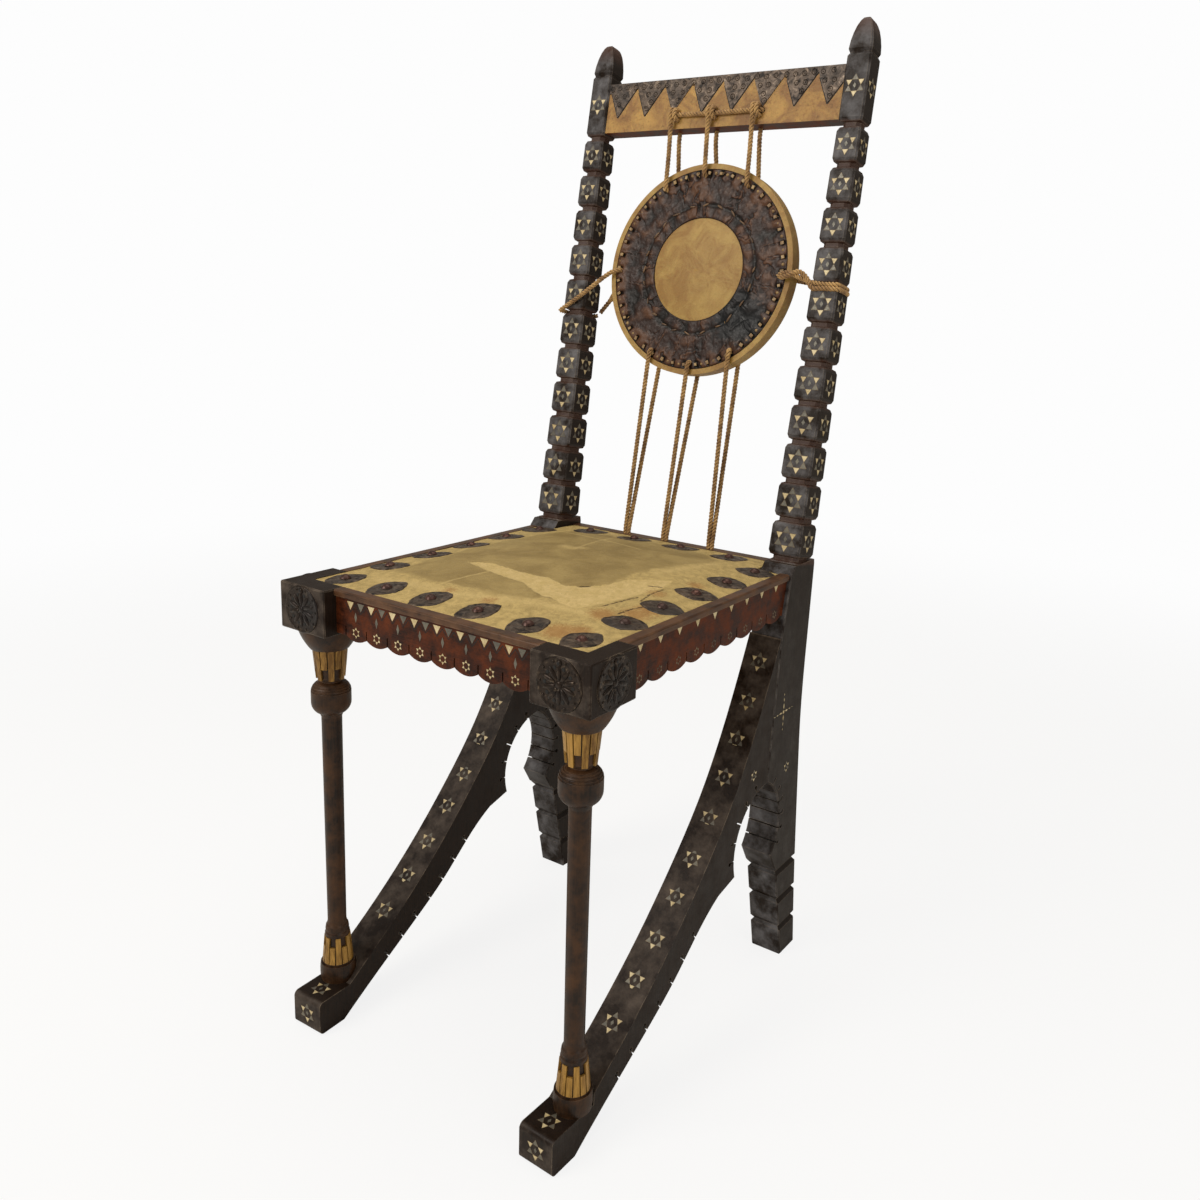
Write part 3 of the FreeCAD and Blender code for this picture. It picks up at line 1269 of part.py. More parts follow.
def upper_ropes():
    """Ropes from the crest rail through the shield's upper holes and back up."""
    place = lean()
    front = d.crest_inset - d.rope_size / 2 - d.fit_gap
    through = d.rope_stand
    level = d.crest_low + d.rail_rope_height
    for number, angle in enumerate(UPPER_HOLE_ANGLES, start=1):
        hole = rope_hole(angle)
        points = [vec(hole.x, front, level - d.rope_size - d.fit_gap),
                  vec(hole.x, d.shield_front - through, hole.z),
                  vec(hole.x, d.shield_front + d.shield_thick + through, hole.z),
                  vec(hole.x, crest_rope_depth(), d.crest_low - d.rope_size),
                  vec(hole.x, crest_rope_depth(), d.crest_low + d.rope_dive - d.rope_size)]
        rope(f"upper_rope_{number}", [place.multVec(point) for point in points])
    ends = d.rail_rope_half
    points = [vec(-ends, front + d.rope_dive, level), vec(-ends, front, level), vec(ends, front, level),
              vec(ends, front + d.rope_dive, level)]
    rope("rail_rope", [place.multVec(point) for point in points])


def lower_ropes():
    """Ropes from the rear edge of the seat through the shield's lower holes and back down."""
    place = lean()
    through = d.rope_stand
    back = seat_rope_back()
    for number, (angle, share) in enumerate(zip(LOWER_HOLE_ANGLES, SEAT_HOLE_SHARES), start=1):
        hole = rope_hole(angle)
        seat = share * d.half_width
        aside = d.rope_size * STRAND_SHARE
        high, low = d.seat_height + d.rope_size, d.seat_height - d.rope_dive
        points = [vec(seat - aside, back, low), vec(seat - aside, back, high),
                  place.multVec(vec(hole.x, d.shield_front - through, hole.z)),
                  place.multVec(vec(hole.x, d.shield_front + d.shield_thick + through, hole.z)),
                  vec(seat + aside, back, high), vec(seat + aside, back, low)]
        rope(f"lower_rope_{number}", points)


def neck_box(number, side):
    """Inner, outer, front and rear faces of a post's neck, with the rope's half size added."""
    rise = number / (d.neck_count - 1)
    width = d.post_width_seat + (d.post_width_head - d.post_width_seat) * rise
    depth = d.post_depth_seat + (d.post_depth_head - d.post_depth_seat) * rise
    out = d.rope_size / 2 + 2 * d.fit_gap
    inner = side * (d.half_width - width + d.neck_inset - out)
    outer = side * (d.half_width - d.neck_inset + out)
    return inner, outer, d.neck_inset - out, depth - d.neck_inset + out


def tie_ropes():
    """Ropes that tie the shield to the necks of the two posts, and the toggle on the left one."""
    place = lean()
    through = d.rope_stand
    near, far = d.shield_front - through, d.shield_front + d.shield_thick + through
    inner, outer, front, rear = neck_box(d.left_tie_neck, -1)
    level = d.first_neck + d.neck_pitch * d.left_tie_neck
    hole = rope_hole(TIE_HOLE_ANGLES[0])
    proud = d.neck_inset
    points = [vec(inner, rear, level), vec(outer - proud, rear, level),
              vec(outer - proud, front - proud, level),
              vec(inner, front - TIE_STAND_SHARE * proud, level + d.neck_pitch / 2),
              vec(hole.x, near, hole.z), vec(hole.x, far, hole.z),
              vec(inner + d.rope_size, rear, level + d.rope_size)]
    left = [place.multVec(point) for point in points]
    rope("left_tie_rope", left)
    inner, outer, front, rear = neck_box(d.right_tie_neck, 1)
    level = d.first_neck + d.neck_pitch * d.right_tie_neck
    hole = rope_hole(TIE_HOLE_ANGLES[1])
    points = [vec(inner, rear, level), vec(outer, rear, level), vec(outer, front, level),
              vec(inner, front, level + d.fit_gap), vec(hole.x, near, hole.z),
              vec(hole.x, far, hole.z), vec(inner - d.rope_size, rear, level + d.rope_size)]
    rope("right_tie_rope", [place.multVec(point) for point in points])
    start, end = left[5], left[6]
    along = (end - start).normalize()
    bore, reach, half = d.rope_size / 2 + d.fit_gap, d.toggle_radius, d.toggle_length / 2
    low, high = vec(bore, 0, -half), vec(bore, 0, half)
    edges = [Part.Arc(low, vec(reach, 0, 0), high).toShape(), Part.LineSegment(high, low).toShape()]
    toggle = Part.Face(Part.Wire(edges)).revolve(vec(), vec(0, 0, 1), FULL_TURN)
    middle = start + (end - start) / 2
    toggle.Placement = FreeCAD.Placement(middle, FreeCAD.Rotation(vec(0, 0, 1), along))
    keep(solids("rope_toggle", [toggle]), "rope_toggle")


def glue_blocks():
    """Three-sided blocks in the corner between the seat board and the aprons."""
    side = d.glue_block_side
    low = d.seat_height - d.board_below_top - d.board_thick
    front = d.apron_setback + d.apron_thick
    inner = d.block_track + d.block_size / 2 - d.side_setback - d.apron_thick
    shapes = []
    ends = [vec(0, front, low), vec(0, front + side, low), vec(0, front, low - side)]
    face = Part.Face(Part.makePolygon(ends + ends[:1]))
    block = face.extrude(vec(d.glue_block_length, 0, 0))
    for share in GLUE_BLOCK_ACROSS_SHARES:
        copy = block.copy()
        copy.translate(vec(share * inner - d.glue_block_length / 2, 0, 0))
        shapes.append(copy)
    for way in (-1, 1):
        ends = [vec(way * inner, 0, low), vec(way * (inner - side), 0, low),
                vec(way * inner, 0, low - side)]
        face = Part.Face(Part.makePolygon(ends + ends[:1]))
        block = face.extrude(vec(0, d.glue_block_length, 0))
        for share in GLUE_BLOCK_ALONG_SHARES:
            copy = block.copy()
            copy.translate(vec(0, share * d.seat_depth, 0))
            shapes.append(copy)
    keep(solids("glue_blocks", shapes), "glue_blocks")


def tenon_pegs():
    """Round pegs that lock the tenons of the crest rail and the rear rail."""
    high = head_peg(d.peg_radius - d.fit_gap, 0.0)
    low = seat_peg(d.peg_radius - d.fit_gap, 0.0)
    high.Placement = lean()
    shapes = [high, high.mirror(vec(), vec(1, 0, 0)), low, low.mirror(vec(), vec(1, 0, 0))]
    keep(solids("tenon_pegs", shapes), "tenon_pegs")


def build():
    """Makes every sub-part."""
    pairs = [(rear_post(), "rear_post_left"), (brace(), "brace_left"),
             (front_leg(), "front_leg_left")]
    top, base = leg_strips()
    pairs += [(top, "leg_top_strips_left"), (base, "leg_base_strips_left"),
              (corner_block(), "corner_block_left"), (roundels(), "block_roundels_left")]
    front_apron()
    pairs.append((side_apron(), "left_apron"))
    rear_rail()
    pairs.append((lips(), "left_lip"))
    seat_board()
    seat_soft()
    plates_and_nails()
    crest_parts()
    shield()
    upper_ropes()
    lower_ropes()
    tie_ropes()
    glue_blocks()
    tenon_pegs()
    for source, label in pairs:
        mirrored(source, label)


def check():
    """Stops if any feature failed, a cut removed nothing or a sub-part is not sound."""
    for made in doc.Objects:
        if "Invalid" in made.State or "Error" in made.State:
            raise RuntimeError(f"{made.Label} failed: {made.State}")
        if made.TypeId == "PartDesign::Pocket" and made.Shape.Volume >= made.BaseFeature.Shape.Volume:
            raise RuntimeError(f"{made.Label} cuts nothing")
    for made in EXPORTED:
        shape = made.Shape
        if shape.isNull() or not shape.isValid() or not shape.Solids:
            raise RuntimeError(f"{made.Label} is not a sound solid")


def export():
    """Writes each sub-part to its own file."""
    os.makedirs("parts", exist_ok=True)
    for made in EXPORTED:
        made.Shape.exportStep(f"parts/{made.Label}.step")
    print(len(EXPORTED), "sub-parts")


build()
doc.recompute()
check()
export()
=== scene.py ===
"""A Moorish style side chair: ebonised wood with bone and pewter inlay, vellum, leather, brass and rope.

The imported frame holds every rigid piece. This script dresses it: it gives each node its finish, lays the
inlay on the faces, twists the ropes, covers the seat and the shield, and sets up a plain studio.
"""

import logging
import math
import random
from dataclasses import dataclass
from enum import Enum
from functools import cached_property

import bmesh
import bpy
import numpy as np
from mathutils import Matrix, Vector, noise
from mathutils.bvhtree import BVHTree


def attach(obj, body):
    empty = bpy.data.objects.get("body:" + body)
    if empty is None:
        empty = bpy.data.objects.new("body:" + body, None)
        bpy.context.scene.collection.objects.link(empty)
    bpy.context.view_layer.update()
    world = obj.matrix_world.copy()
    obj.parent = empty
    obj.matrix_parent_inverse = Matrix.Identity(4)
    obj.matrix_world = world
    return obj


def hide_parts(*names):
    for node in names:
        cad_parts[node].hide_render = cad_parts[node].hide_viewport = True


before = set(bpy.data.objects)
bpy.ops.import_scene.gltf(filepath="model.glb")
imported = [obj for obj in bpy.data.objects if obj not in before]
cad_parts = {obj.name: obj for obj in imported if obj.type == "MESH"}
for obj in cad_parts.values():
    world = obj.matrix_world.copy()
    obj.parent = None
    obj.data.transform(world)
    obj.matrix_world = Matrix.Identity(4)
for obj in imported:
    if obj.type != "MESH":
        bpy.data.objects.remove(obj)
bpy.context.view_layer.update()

LOG = logging.getLogger("side_chair")
MM = 0.001
BODY = "root"

# The chair's own sizes, in mm, and the lean of its back.
LEAN = math.radians(9.94)
ORIGIN_BACK = 238.905
SEAT_HEIGHT = 465.0
SEAT_DEPTH = 366.7
HALF_WIDTH = 180.0
FIRST_NECK = 12.75
NECK_PITCH = 41.75
BEADS = 11
SHIELD_HEIGHT = 318.9
SHIELD_FRONT = 8.7

# Places in mm, clear of the chair, where the search for a face begins.
BESIDE = 220.0
BEFORE = -40.0
BEFORE_CREST = -30.0

LEAN_UP = Vector((0.0, math.sin(LEAN), math.cos(LEAN)))
LEAN_BACK = Vector((0.0, math.cos(LEAN), -math.sin(LEAN)))
UP = Vector((0.0, 0.0, 1.0))
BACK = Vector((0.0, 1.0, 0.0))
FULL_TURN = 2 * math.pi

Socket = bpy.types.NodeSocket
Colour = Socket | str
Points = tuple[tuple[float, ...], ...]


class Side(Enum):
    """A side of the chair, seen from the front, by the sign of its sideways places."""

    RIGHT = 1
    LEFT = -1

    @property
    def label(self) -> str:
        """The side's name as the frame's nodes have it."""
        return self.name.lower()


def srgb(code: str) -> tuple[float, float, float, float]:
    """Turn an sRGB hex colour to linear light.

    Args:
        code: A colour such as "#8a6d45".

    Returns:
        Red, green, blue and alpha, each from 0 to 1.
    """
    channels = [int(code[place:place + 2], 16) / 255 for place in (1, 3, 5)]
    linear = [c / 12.92 if c <= 0.04045 else ((c + 0.055) / 1.055) ** 2.4 for c in channels]
    return (*linear, 1.0)


def clamp(value: float, low: float = 0.0, high: float = 1.0) -> float:
    """Value held between two ends."""
    return max(low, min(high, value))


def leaning(x: float, w: float, s: float) -> Vector:
    """Point of the leaning back, in metres.

    Args:
        x: Sideways, in mm.
        w: Depth behind the posts' front face, in mm.
        s: Height along the posts above the seat, in mm.

    Returns:
        The point in the row frame.
    """
    back = SEAT_DEPTH + w * math.cos(LEAN) + s * math.sin(LEAN) - ORIGIN_BACK
    high = SEAT_HEIGHT + s * math.cos(LEAN) - w * math.sin(LEAN)
    return Vector((x, back, high)) * MM


def upright(x: float, y: float, z: float) -> Vector:
    """Point given in mm with y measured from the chair's front face, in metres."""
    return Vector((x, y - ORIGIN_BACK, z)) * MM


def basis(right: Vector, high: Vector, out: Vector) -> Matrix:
    """Turn that brings X, Y and Z to three directions."""
    return Matrix((right, high, out)).transposed().to_4x4()


def mesh_of(name: str, mesh: bmesh.types.BMesh) -> bpy.types.Mesh:
    """Mesh data made from a bmesh, which is freed."""
    data = bpy.data.meshes.new(name)
    mesh.to_mesh(data)
    mesh.free()
    return data


def linked(name: str, data: bpy.types.ID) -> bpy.types.Object:
    """New object that shows its data in the scene."""
    made = bpy.data.objects.new(name, data)
    bpy.context.scene.collection.objects.link(made)
    return made


def shade(tree: bpy.types.NodeTree, kind: str, inputs: dict | None = None, **settings) -> bpy.types.Node:
    """Add one shader node with its settings and links.

    Args:
        tree: The material's node tree.
        kind: The node's type, such as "ShaderNodeBump".
        inputs: Values or sockets by input name or number.
        settings: The node's own properties.

    Returns:
        The new node.
    """
    made = tree.nodes.new(kind)
    for name, value in settings.items():
        setattr(made, name, value)
    for name, value in (inputs or {}).items():
        if isinstance(value, Socket):
            tree.links.new(value, made.inputs[name])
        else:
            made.inputs[name].default_value = value
    return made


class Brush:
    """Short ways to add the nodes that the finishes share."""

    def __init__(self, tree: bpy.types.NodeTree) -> None:
        """Start on an empty tree."""
        tree.nodes.clear()
        self.tree = tree

    @cached_property
    def coords(self) -> bpy.types.NodeOutputs:
        """Outputs of the tree's one Texture Coordinate node."""
        return shade(self.tree, "ShaderNodeTexCoord").outputs

    def add(self, kind: str, inputs: dict | None = None, out: int | str = 0, **settings) -> Socket:
        """One output of a new node."""
        return shade(self.tree, kind, inputs, **settings).outputs[out]

    def noise(self, size_mm: float, detail: float = 2.0, rough: float = 0.5, distort: float = 0.0,
              place: Socket | None = None) -> Socket:
        """Cloudy pattern.

        Args:
            size_mm: Width of its features.
            detail: Number of finer layers.
            rough: Strength of the finer layers.
            distort: How far it is pulled about.
            place: Coordinates, or None for the object's.

        Returns:
            A socket from about 0 to 1.
        """
        place = self.coords["Object"] if place is None else place
        return self.add("ShaderNodeTexNoise", {
            "Vector": place, "Scale": 1.0 / (size_mm * MM), "Detail": detail, "Roughness": rough,
            "Distortion": distort}, "Fac")

    def stretched(self, scale: tuple[float, float, float]) -> Socket:
        """Object coordinates scaled along each axis."""
        return self.add("ShaderNodeMapping", {"Vector": self.coords["Object"], "Scale": scale}, "Vector")

    def ramp(self, value: Socket, low: float, high: float, start: float = 0.0, end: float = 1.0,
             **settings) -> Socket:
        """Value stretched from the range low to high to the range start to end."""
        return self.add("ShaderNodeMapRange", {"Value": value, "From Min": low, "From Max": high,
                                               "To Min": start, "To Max": end}, **settings)

    def mix(self, share: Socket, under: Colour, over: Colour) -> Socket:
        """One colour laid over another by a share; each is a socket or a hex code."""
        under, over = (srgb(colour) if isinstance(colour, str) else colour for colour in (under, over))
        return self.add("ShaderNodeMix", {0: share, 6: under, 7: over}, 2, data_type="RGBA")

    def maths(self, operation: str, *values: Socket | float) -> Socket:
        """Result of arithmetic on up to three values."""
        return self.add("ShaderNodeMath", dict(enumerate(values)), operation=operation)

    def measure(self, operation: str, *values: Socket | tuple) -> Socket:
        """One number got from vectors."""
        return self.add("ShaderNodeVectorMath", dict(enumerate(values)), "Value", operation=operation)

    def bump(self, height: Socket, deep_mm: float, strength: float) -> Socket:
        """Normal bent by a relief of that depth."""
        return self.add("ShaderNodeBump", {"Height": height, "Distance": deep_mm * MM, "Strength": strength},
                        "Normal")

    def mapped(self, name: str) -> Socket:
        """Number that the mesh carries under a name."""
        return self.add("ShaderNodeAttribute", out="Fac", attribute_name=name)


class Finish:
    """A named material that builds itself once."""

    title: str

    def paint(self, brush: Brush) -> dict[str, Socket | float]:
        """Add the finish's nodes and give the shader's inputs; each finish has its own."""
        raise NotImplementedError

    def material(self) -> bpy.types.Material:
        """Material of this finish, built at its first use."""
        found = bpy.data.materials.get(self.title)
        if found:
            return found
        made = bpy.data.materials.new(self.title)
        made.use_nodes = True
        brush = Brush(made.node_tree)
        shader = brush.add("ShaderNodeBsdfPrincipled", self.paint(brush), "BSDF")
        shade(made.node_tree, "ShaderNodeOutputMaterial", {"Surface": shader})
        return made


@dataclass(frozen=True)
class Wood(Finish):
    """Wood with long pores, a cloudy bloom that doubles as a painted sheen on the faces turned forward and
    up, and edges worn through the stain.
    """

    title: str
    body: str
    pore: str
    # The bloom colour is a cloudy rubbed bloom and, where the flank share is low, a painted sheen on the
    # faces turned forward and up.
    bloom_and_sheen: str
    worn: str
    grain_mm: float = 1.1
    along: tuple[float, float, float] = (1.0, 1.0, 0.05)
    bloom_and_sheen_share: float = 0.5
    wear_share: float = 0.6
    smooth: float = 0.34
    rough: float = 0.6
    coat: float = 0.0
    turned: bool = False
    # The flank share is how much of the bloom and painted sheen stays on faces that do not look forward and
    # up.
    flank: float = 1.0
    neck: str = "#4e352b"

    def paint(self, brush: Brush) -> dict[str, Socket | float]:
        """Grain along the piece, cloudy bloom with a painted sheen on the faces turned forward and up, worn
        edges and, on the posts, bare turned necks.
        """
        grain = brush.noise(self.grain_mm, 6.0, 0.62, place=brush.stretched(self.along))
        cloud = brush.noise(22, 7.0, 0.66)
        wood = brush.mix(brush.ramp(grain, 0.46, 0.66), self.body, self.pore)
        # Painted sheen: the bloom colour goes most on faces turned forward and a little up, towards the front
        # lamps, and only by the flank share on the others.
        ahead = brush.measure("DOT_PRODUCT", brush.coords["Normal"], (0.0, -1.0, 0.25))
        bloom_and_sheen_mask = brush.maths("MULTIPLY", brush.ramp(cloud, 0.4, 0.72, end=self.bloom_and_sheen_share),
                           brush.ramp(ahead, 0.25, 0.85, self.flank))
        wood = brush.mix(bloom_and_sheen_mask, wood, self.bloom_and_sheen)
        if self.turned:
            wood = self.bare_necks(brush, cloud, wood)
        rounded = brush.add("ShaderNodeBevel", {"Radius": 1.4 * MM}, samples=4)
        meet = brush.measure("DOT_PRODUCT", rounded, brush.add("ShaderNodeNewGeometry", out="Normal"))
        edge = brush.maths("MULTIPLY", brush.ramp(meet, 0.99, 0.86, end=self.wear_share),
                           brush.ramp(cloud, 0.42, 0.58))
        return {"Base Color": brush.mix(edge, wood, self.worn),
                "Roughness": brush.ramp(cloud, 0.3, 0.7, self.smooth, self.rough),
                "Normal": brush.bump(grain, 0.35, 0.45), "Specular IOR Level": 0.15,
                "Coat Weight": self.coat, "Coat Roughness": 0.32}

    def bare_necks(self, brush: Brush, cloud: Socket, wood: Socket) -> Socket:
        """Show red-brown wood in the necks between the beads and at the finial's tip.

        Args:
            brush: The material's brush.
            cloud: The large noise.
            wood: The colour so far.

        Returns:
            The colour with the bare places mixed in.
        """
        foot = leaning(0, 0, FIRST_NECK).dot(LEAN_UP)
        half = NECK_PITCH / 2 * MM
        height = brush.measure("DOT_PRODUCT", brush.coords["Object"], tuple(LEAN_UP))
        turns = brush.ramp(height, foot - half, foot + half, clamp=False)
        off = brush.maths("SUBTRACT", brush.maths("FRACT", turns), 0.5)
        ragged = brush.maths("MULTIPLY_ADD", cloud, 0.12, brush.maths("ABSOLUTE", off))
        neck = brush.ramp(ragged, 0.19, 0.13, end=0.6)
        both = brush.maths("MULTIPLY", brush.maths("GREATER_THAN", turns, 0.2),
                           brush.maths("LESS_THAN", turns, BEADS + 1))
        neck = brush.maths("MULTIPLY", neck, both)
        tip = brush.ramp(turns, BEADS + 2.6, BEADS + 3.1, end=0.7)
        return brush.mix(brush.maths("MAXIMUM", neck, tip), wood, self.neck)


@dataclass(frozen=True)
class Vellum(Finish):
    """Scraped calf skin: cream, clouded by age, with stains and fine creases."""

    title: str
    pale: str
    aged: str
    stain: str
    stain_share: float = 0.35

    def paint(self, brush: Brush) -> dict[str, Socket | float]:
        """Two tones in soft clouds, brown stains, and creases in the relief."""
        cloud = brush.noise(30, 9.0, 0.66, 0.8)
        fleck = brush.noise(3.2, 5.0, 0.7)
        skin = brush.mix(brush.ramp(cloud, 0.38, 0.6), self.pale, self.aged)
        skin = brush.mix(brush.ramp(fleck, 0.54, 0.72, end=self.stain_share), skin, self.stain)
        height = brush.maths("MULTIPLY_ADD", cloud, 2.0, fleck)
        return {"Base Color": skin, "Roughness": brush.ramp(fleck, 0.0, 1.0, 0.4, 0.66),
                "Normal": brush.bump(height, 0.7, 0.5), "Subsurface Weight": 0.06,
                "Subsurface Scale": 2 * MM}


@dataclass(frozen=True)
class TornVellum(Finish):
    """The seat's vellum: an olive upper layer, worn round its border and torn to the pale skin below.

    The cover's mesh carries how far each place lies inside the olive layer, the tear, the seams, the
    rust and the cracks, in millimetres; ragged noise turns each of these into an edge.
    """

    title: str
    olive: str = "#8b7647"
    light: str = "#a28c58"
    border: str = "#bea56a"
    bare: str = "#cdb47c"
    rust: str = "#94602c"
    crack: str = "#36210f"
    grime: str = "#5b4628"

    @staticmethod
    def within(brush: Brush, name: str, ragged: Socket, soft: float, swing: float) -> Socket:
        """Share of a mapped area, with a ragged edge.

        Args:
            brush: The material's brush.
            name: The mesh attribute that says how far inside a place is, in mm.
            ragged: Noise that moves the edge.
            soft: Half the width of the edge, in mm.
            swing: How far the noise moves the edge, in mm.

        Returns:
            A socket from 0 outside to 1 inside.
        """
        noisy = brush.maths("SUBTRACT", ragged, 0.5)
        return brush.ramp(brush.maths("MULTIPLY_ADD", noisy, swing, brush.mapped(name)), -soft, soft)

    def paint(self, brush: Brush) -> dict[str, Socket | float]:
        """Olive clouds, a mottled border, the pale tear, seams, rust and dark cracks."""
        wide, fine, fleck = (brush.noise(size, 8.0, rough, 0.5)
                             for size, rough in ((46, 0.66), (9, 0.7), (2.4, 0.7)))
        tone = brush.ramp(fine, 0.4, 0.62)
        edge = brush.mix(tone, self.border, self.light)
        pale = brush.mix(tone, self.bare, self.border)
        skin = brush.mix(brush.ramp(wide, 0.4, 0.62), self.olive, self.light)
        skin = brush.mix(self.within(brush, "olive", wide, 3.5, 46.0), edge, skin)
        for name, ragged, soft, swing, colour, most in (
                ("streak", fine, 5.0, 24.0, pale, 0.62), ("torn", fine, 0.5, 13.0, pale, 0.92),
                ("seam", fine, 1.2, 5.0, pale, 0.6), ("rust", fleck, 5.0, 40.0, self.rust, 0.6),
                ("crack", fleck, 0.5, 3.5, self.crack, 0.95)):
            share = self.within(brush, name, ragged, soft, swing)
            skin = brush.mix(brush.maths("MULTIPLY", share, most), skin, colour)
        skin = brush.mix(brush.ramp(fleck, 0.53, 0.72, end=0.34), skin, self.grime)
        height = brush.maths("MULTIPLY_ADD", fine, 2.0, fleck)
        return {"Base Color": skin, "Roughness": brush.ramp(fine, 0.0, 1.0, 0.5, 0.8),
                "Normal": brush.bump(height, 0.9, 0.6), "Specular IOR Level": 0.3}


@dataclass(frozen=True)
class Hide(Finish):
    """Thin patinated metal: dark, dented, with rubbed high spots."""

    title: str
    deep: str
    body: str
    rubbed: str
    patch: str
    dent_mm: float
    relief_mm: float
    metallic: float
    smooth: float
    rough: float

    def paint(self, brush: Brush) -> dict[str, Socket | float]:
        """Dents, dark in the hollows and rubbed on the ridges, with wide dull patches."""
        dents = brush.noise(self.dent_mm, 6.0, 0.6, 0.8)
        tone = brush.mix(brush.ramp(dents, 0.35, 0.55), self.deep, self.body)
        tone = brush.mix(brush.ramp(dents, 0.58, 0.75, end=0.7), tone, self.rubbed)
        tone = brush.mix(brush.ramp(brush.noise(60, 3.0), 0.52, 0.66, end=0.75), tone, self.patch)
        return {"Base Color": tone, "Roughness": brush.ramp(dents, 0.35, 0.7, self.rough, self.smooth),
                "Normal": brush.bump(dents, self.relief_mm, 0.6), "Metallic": self.metallic,
                "Specular IOR Level": 0.28}


@dataclass(frozen=True)
class Crumpled(Finish):
    """Leather shrunk and crumpled over the shield, waxed dark and rubbed brown on its folds."""

    title: str
    deep: str = "#0d0704"
    body: str = "#28140a"
    rubbed: str = "#5c3d28"
    blue: str = "#0b0e11"

    def paint(self, brush: Brush) -> dict[str, Socket | float]:
        """Dark in the creases, rubbed on the folds, with one bluish-black patch low on the right."""
        skin = brush.noise(4.5, 6.0, 0.62, 0.6)
        mixed = brush.maths("MULTIPLY_ADD", skin, 0.8, brush.mapped("fold"))
        tone = brush.mix(brush.ramp(mixed, 0.0, 0.55), self.deep, self.body)
        tone = brush.mix(brush.ramp(mixed, 0.7, 1.3, end=0.75), tone, self.rubbed)
        patch = leaning(62.0, SHIELD_FRONT, SHIELD_HEIGHT - 52.0)
        apart = brush.measure("DISTANCE", brush.coords["Object"], tuple(patch))
        spread = brush.maths("MULTIPLY_ADD", skin, 40 * MM, apart)
        tone = brush.mix(brush.ramp(spread, 62 * MM, 46 * MM, end=0.95), tone, self.blue)
        return {"Base Color": tone, "Roughness": brush.ramp(skin, 0.35, 0.65, 0.5, 0.3),
                "Normal": brush.bump(skin, 0.5, 0.5), "Specular IOR Level": 0.24}


@dataclass(frozen=True)
class Chip(Finish):
    """A small let-in chip of bone, pewter or brass, cloudy and a little scratched."""

    title: str
    body: str
    cloud: str
    speck_mm: float = 2.0
    metallic: float = 0.0
    rough: float = 0.45
    along: tuple[float, float, float] = (1.0, 1.0, 1.0)

    def paint(self, brush: Brush) -> dict[str, Socket | float]:
        """Two tones in small clouds or streaks with fine scratches."""
        place = brush.stretched(self.along)
        specks = brush.noise(self.speck_mm, 5.0, 0.7, place=place)
        mixed = brush.maths("MULTIPLY", specks, brush.noise(26, place=place))
        return {"Base Color": brush.mix(brush.ramp(mixed, 0.16, 0.34), self.body, self.cloud),
                "Roughness": brush.ramp(specks, 0.3, 0.7, self.rough - 0.12, self.rough + 0.14),
                "Normal": brush.bump(specks, 0.15, 0.5), "Metallic": self.metallic}


@dataclass(frozen=True)
class Twine(Finish):
    """Laid hemp: tan strands with darker fibres and a dull, hairy surface."""

    title: str
    body: str = "#ba945c"
    dark: str = "#765431"
    # Colour of the painted shade between the strands.
    painted_crevice_shade: str = "#1e1209"

    def paint(self, brush: Brush) -> dict[str, Socket | float]:
        """Fine fibres over a slow change of tone, with painted shade between the strands."""
        fibres = brush.noise(0.5, 4.0, 0.7)
        both = brush.maths("ADD", fibres, brush.noise(14))
        tone = brush.mix(brush.ramp(both, 0.85, 1.2), self.body, self.dark)
        # Painted shade: ambient occlusion darkens the crevices between the strands.
        unshaded_share = brush.add("ShaderNodeAmbientOcclusion", {"Distance": 1.6 * MM}, "AO", samples=6,
                               only_local=True)
        tone = brush.mix(brush.ramp(unshaded_share, 0.75, 0.35, end=0.9), tone, self.painted_crevice_shade)
        return {"Base Color": tone, "Normal": brush.bump(fibres, 0.3, 0.7), "Roughness": 0.82,
                "Sheen Weight": 0.15}


# Ebonised beech: stained black and waxed, with a grey bloom and a painted sheen on the faces turned forward
# and up, and pale rubbed edges; the posts' painted sheen is a paler grey.
EBONISED = Wood("ebonised_beech", "#21160f", "#110b07", "#5c524a", "#8d7e6c", flank=0.05, bloom_and_sheen_share=0.9)
POST = Wood("ebonised_beech_post", "#21170f", "#110b07", "#717073", "#8d7e6c", turned=True, flank=0.06,
            bloom_and_sheen_share=0.9)
# Turned legs: the same stain, rubbed thin, so that mottled brown wood shows.
LEG = Wood("rubbed_turned_beech", "#25170e", "#100a06", "#56381f", "#6b5340", grain_mm=1.6,
           bloom_and_sheen_share=0.75, coat=0.2)
# Mahogany: oiled red-brown, with long dark pores, and waxed paler on the mouldings.
MAHOGANY = Wood("oiled_mahogany", "#34160a", "#180a05", "#7a3a17", "#7d4e32", along=(0.05, 0.05, 1.0),
                bloom_and_sheen_share=0.7, wear_share=0.4)
LIP = Wood("waxed_mahogany_lip", "#4a3020", "#25170d", "#7a573a", "#93795c", along=(0.05, 0.05, 1.0),
           wear_share=0.5, smooth=0.26, coat=0.25)
# Pine: the plain pale wood inside.
PINE = Wood("planed_pine", "#a5845a", "#7b5c39", "#b89a6e", "#c5ab80", along=(0.05, 1.0, 1.0),
            wear_share=0.2)
# Vellum: scraped calf skin, torn on the seat, stained on the rail and drawn tight over the shield.
SEAT_SKIN = TornVellum("aged_seat_vellum")
CREST_SKIN = Vellum("stained_crest_vellum", "#ad853e", "#825a24", "#472c10", 0.65)
SHIELD_SKIN = Vellum("stretched_shield_vellum", "#a68744", "#8b6628", "#684618")
# Leather: wetted, crumpled and waxed, rubbed brown on its folds.
RING_LEATHER = Crumpled("crumpled_black_leather")
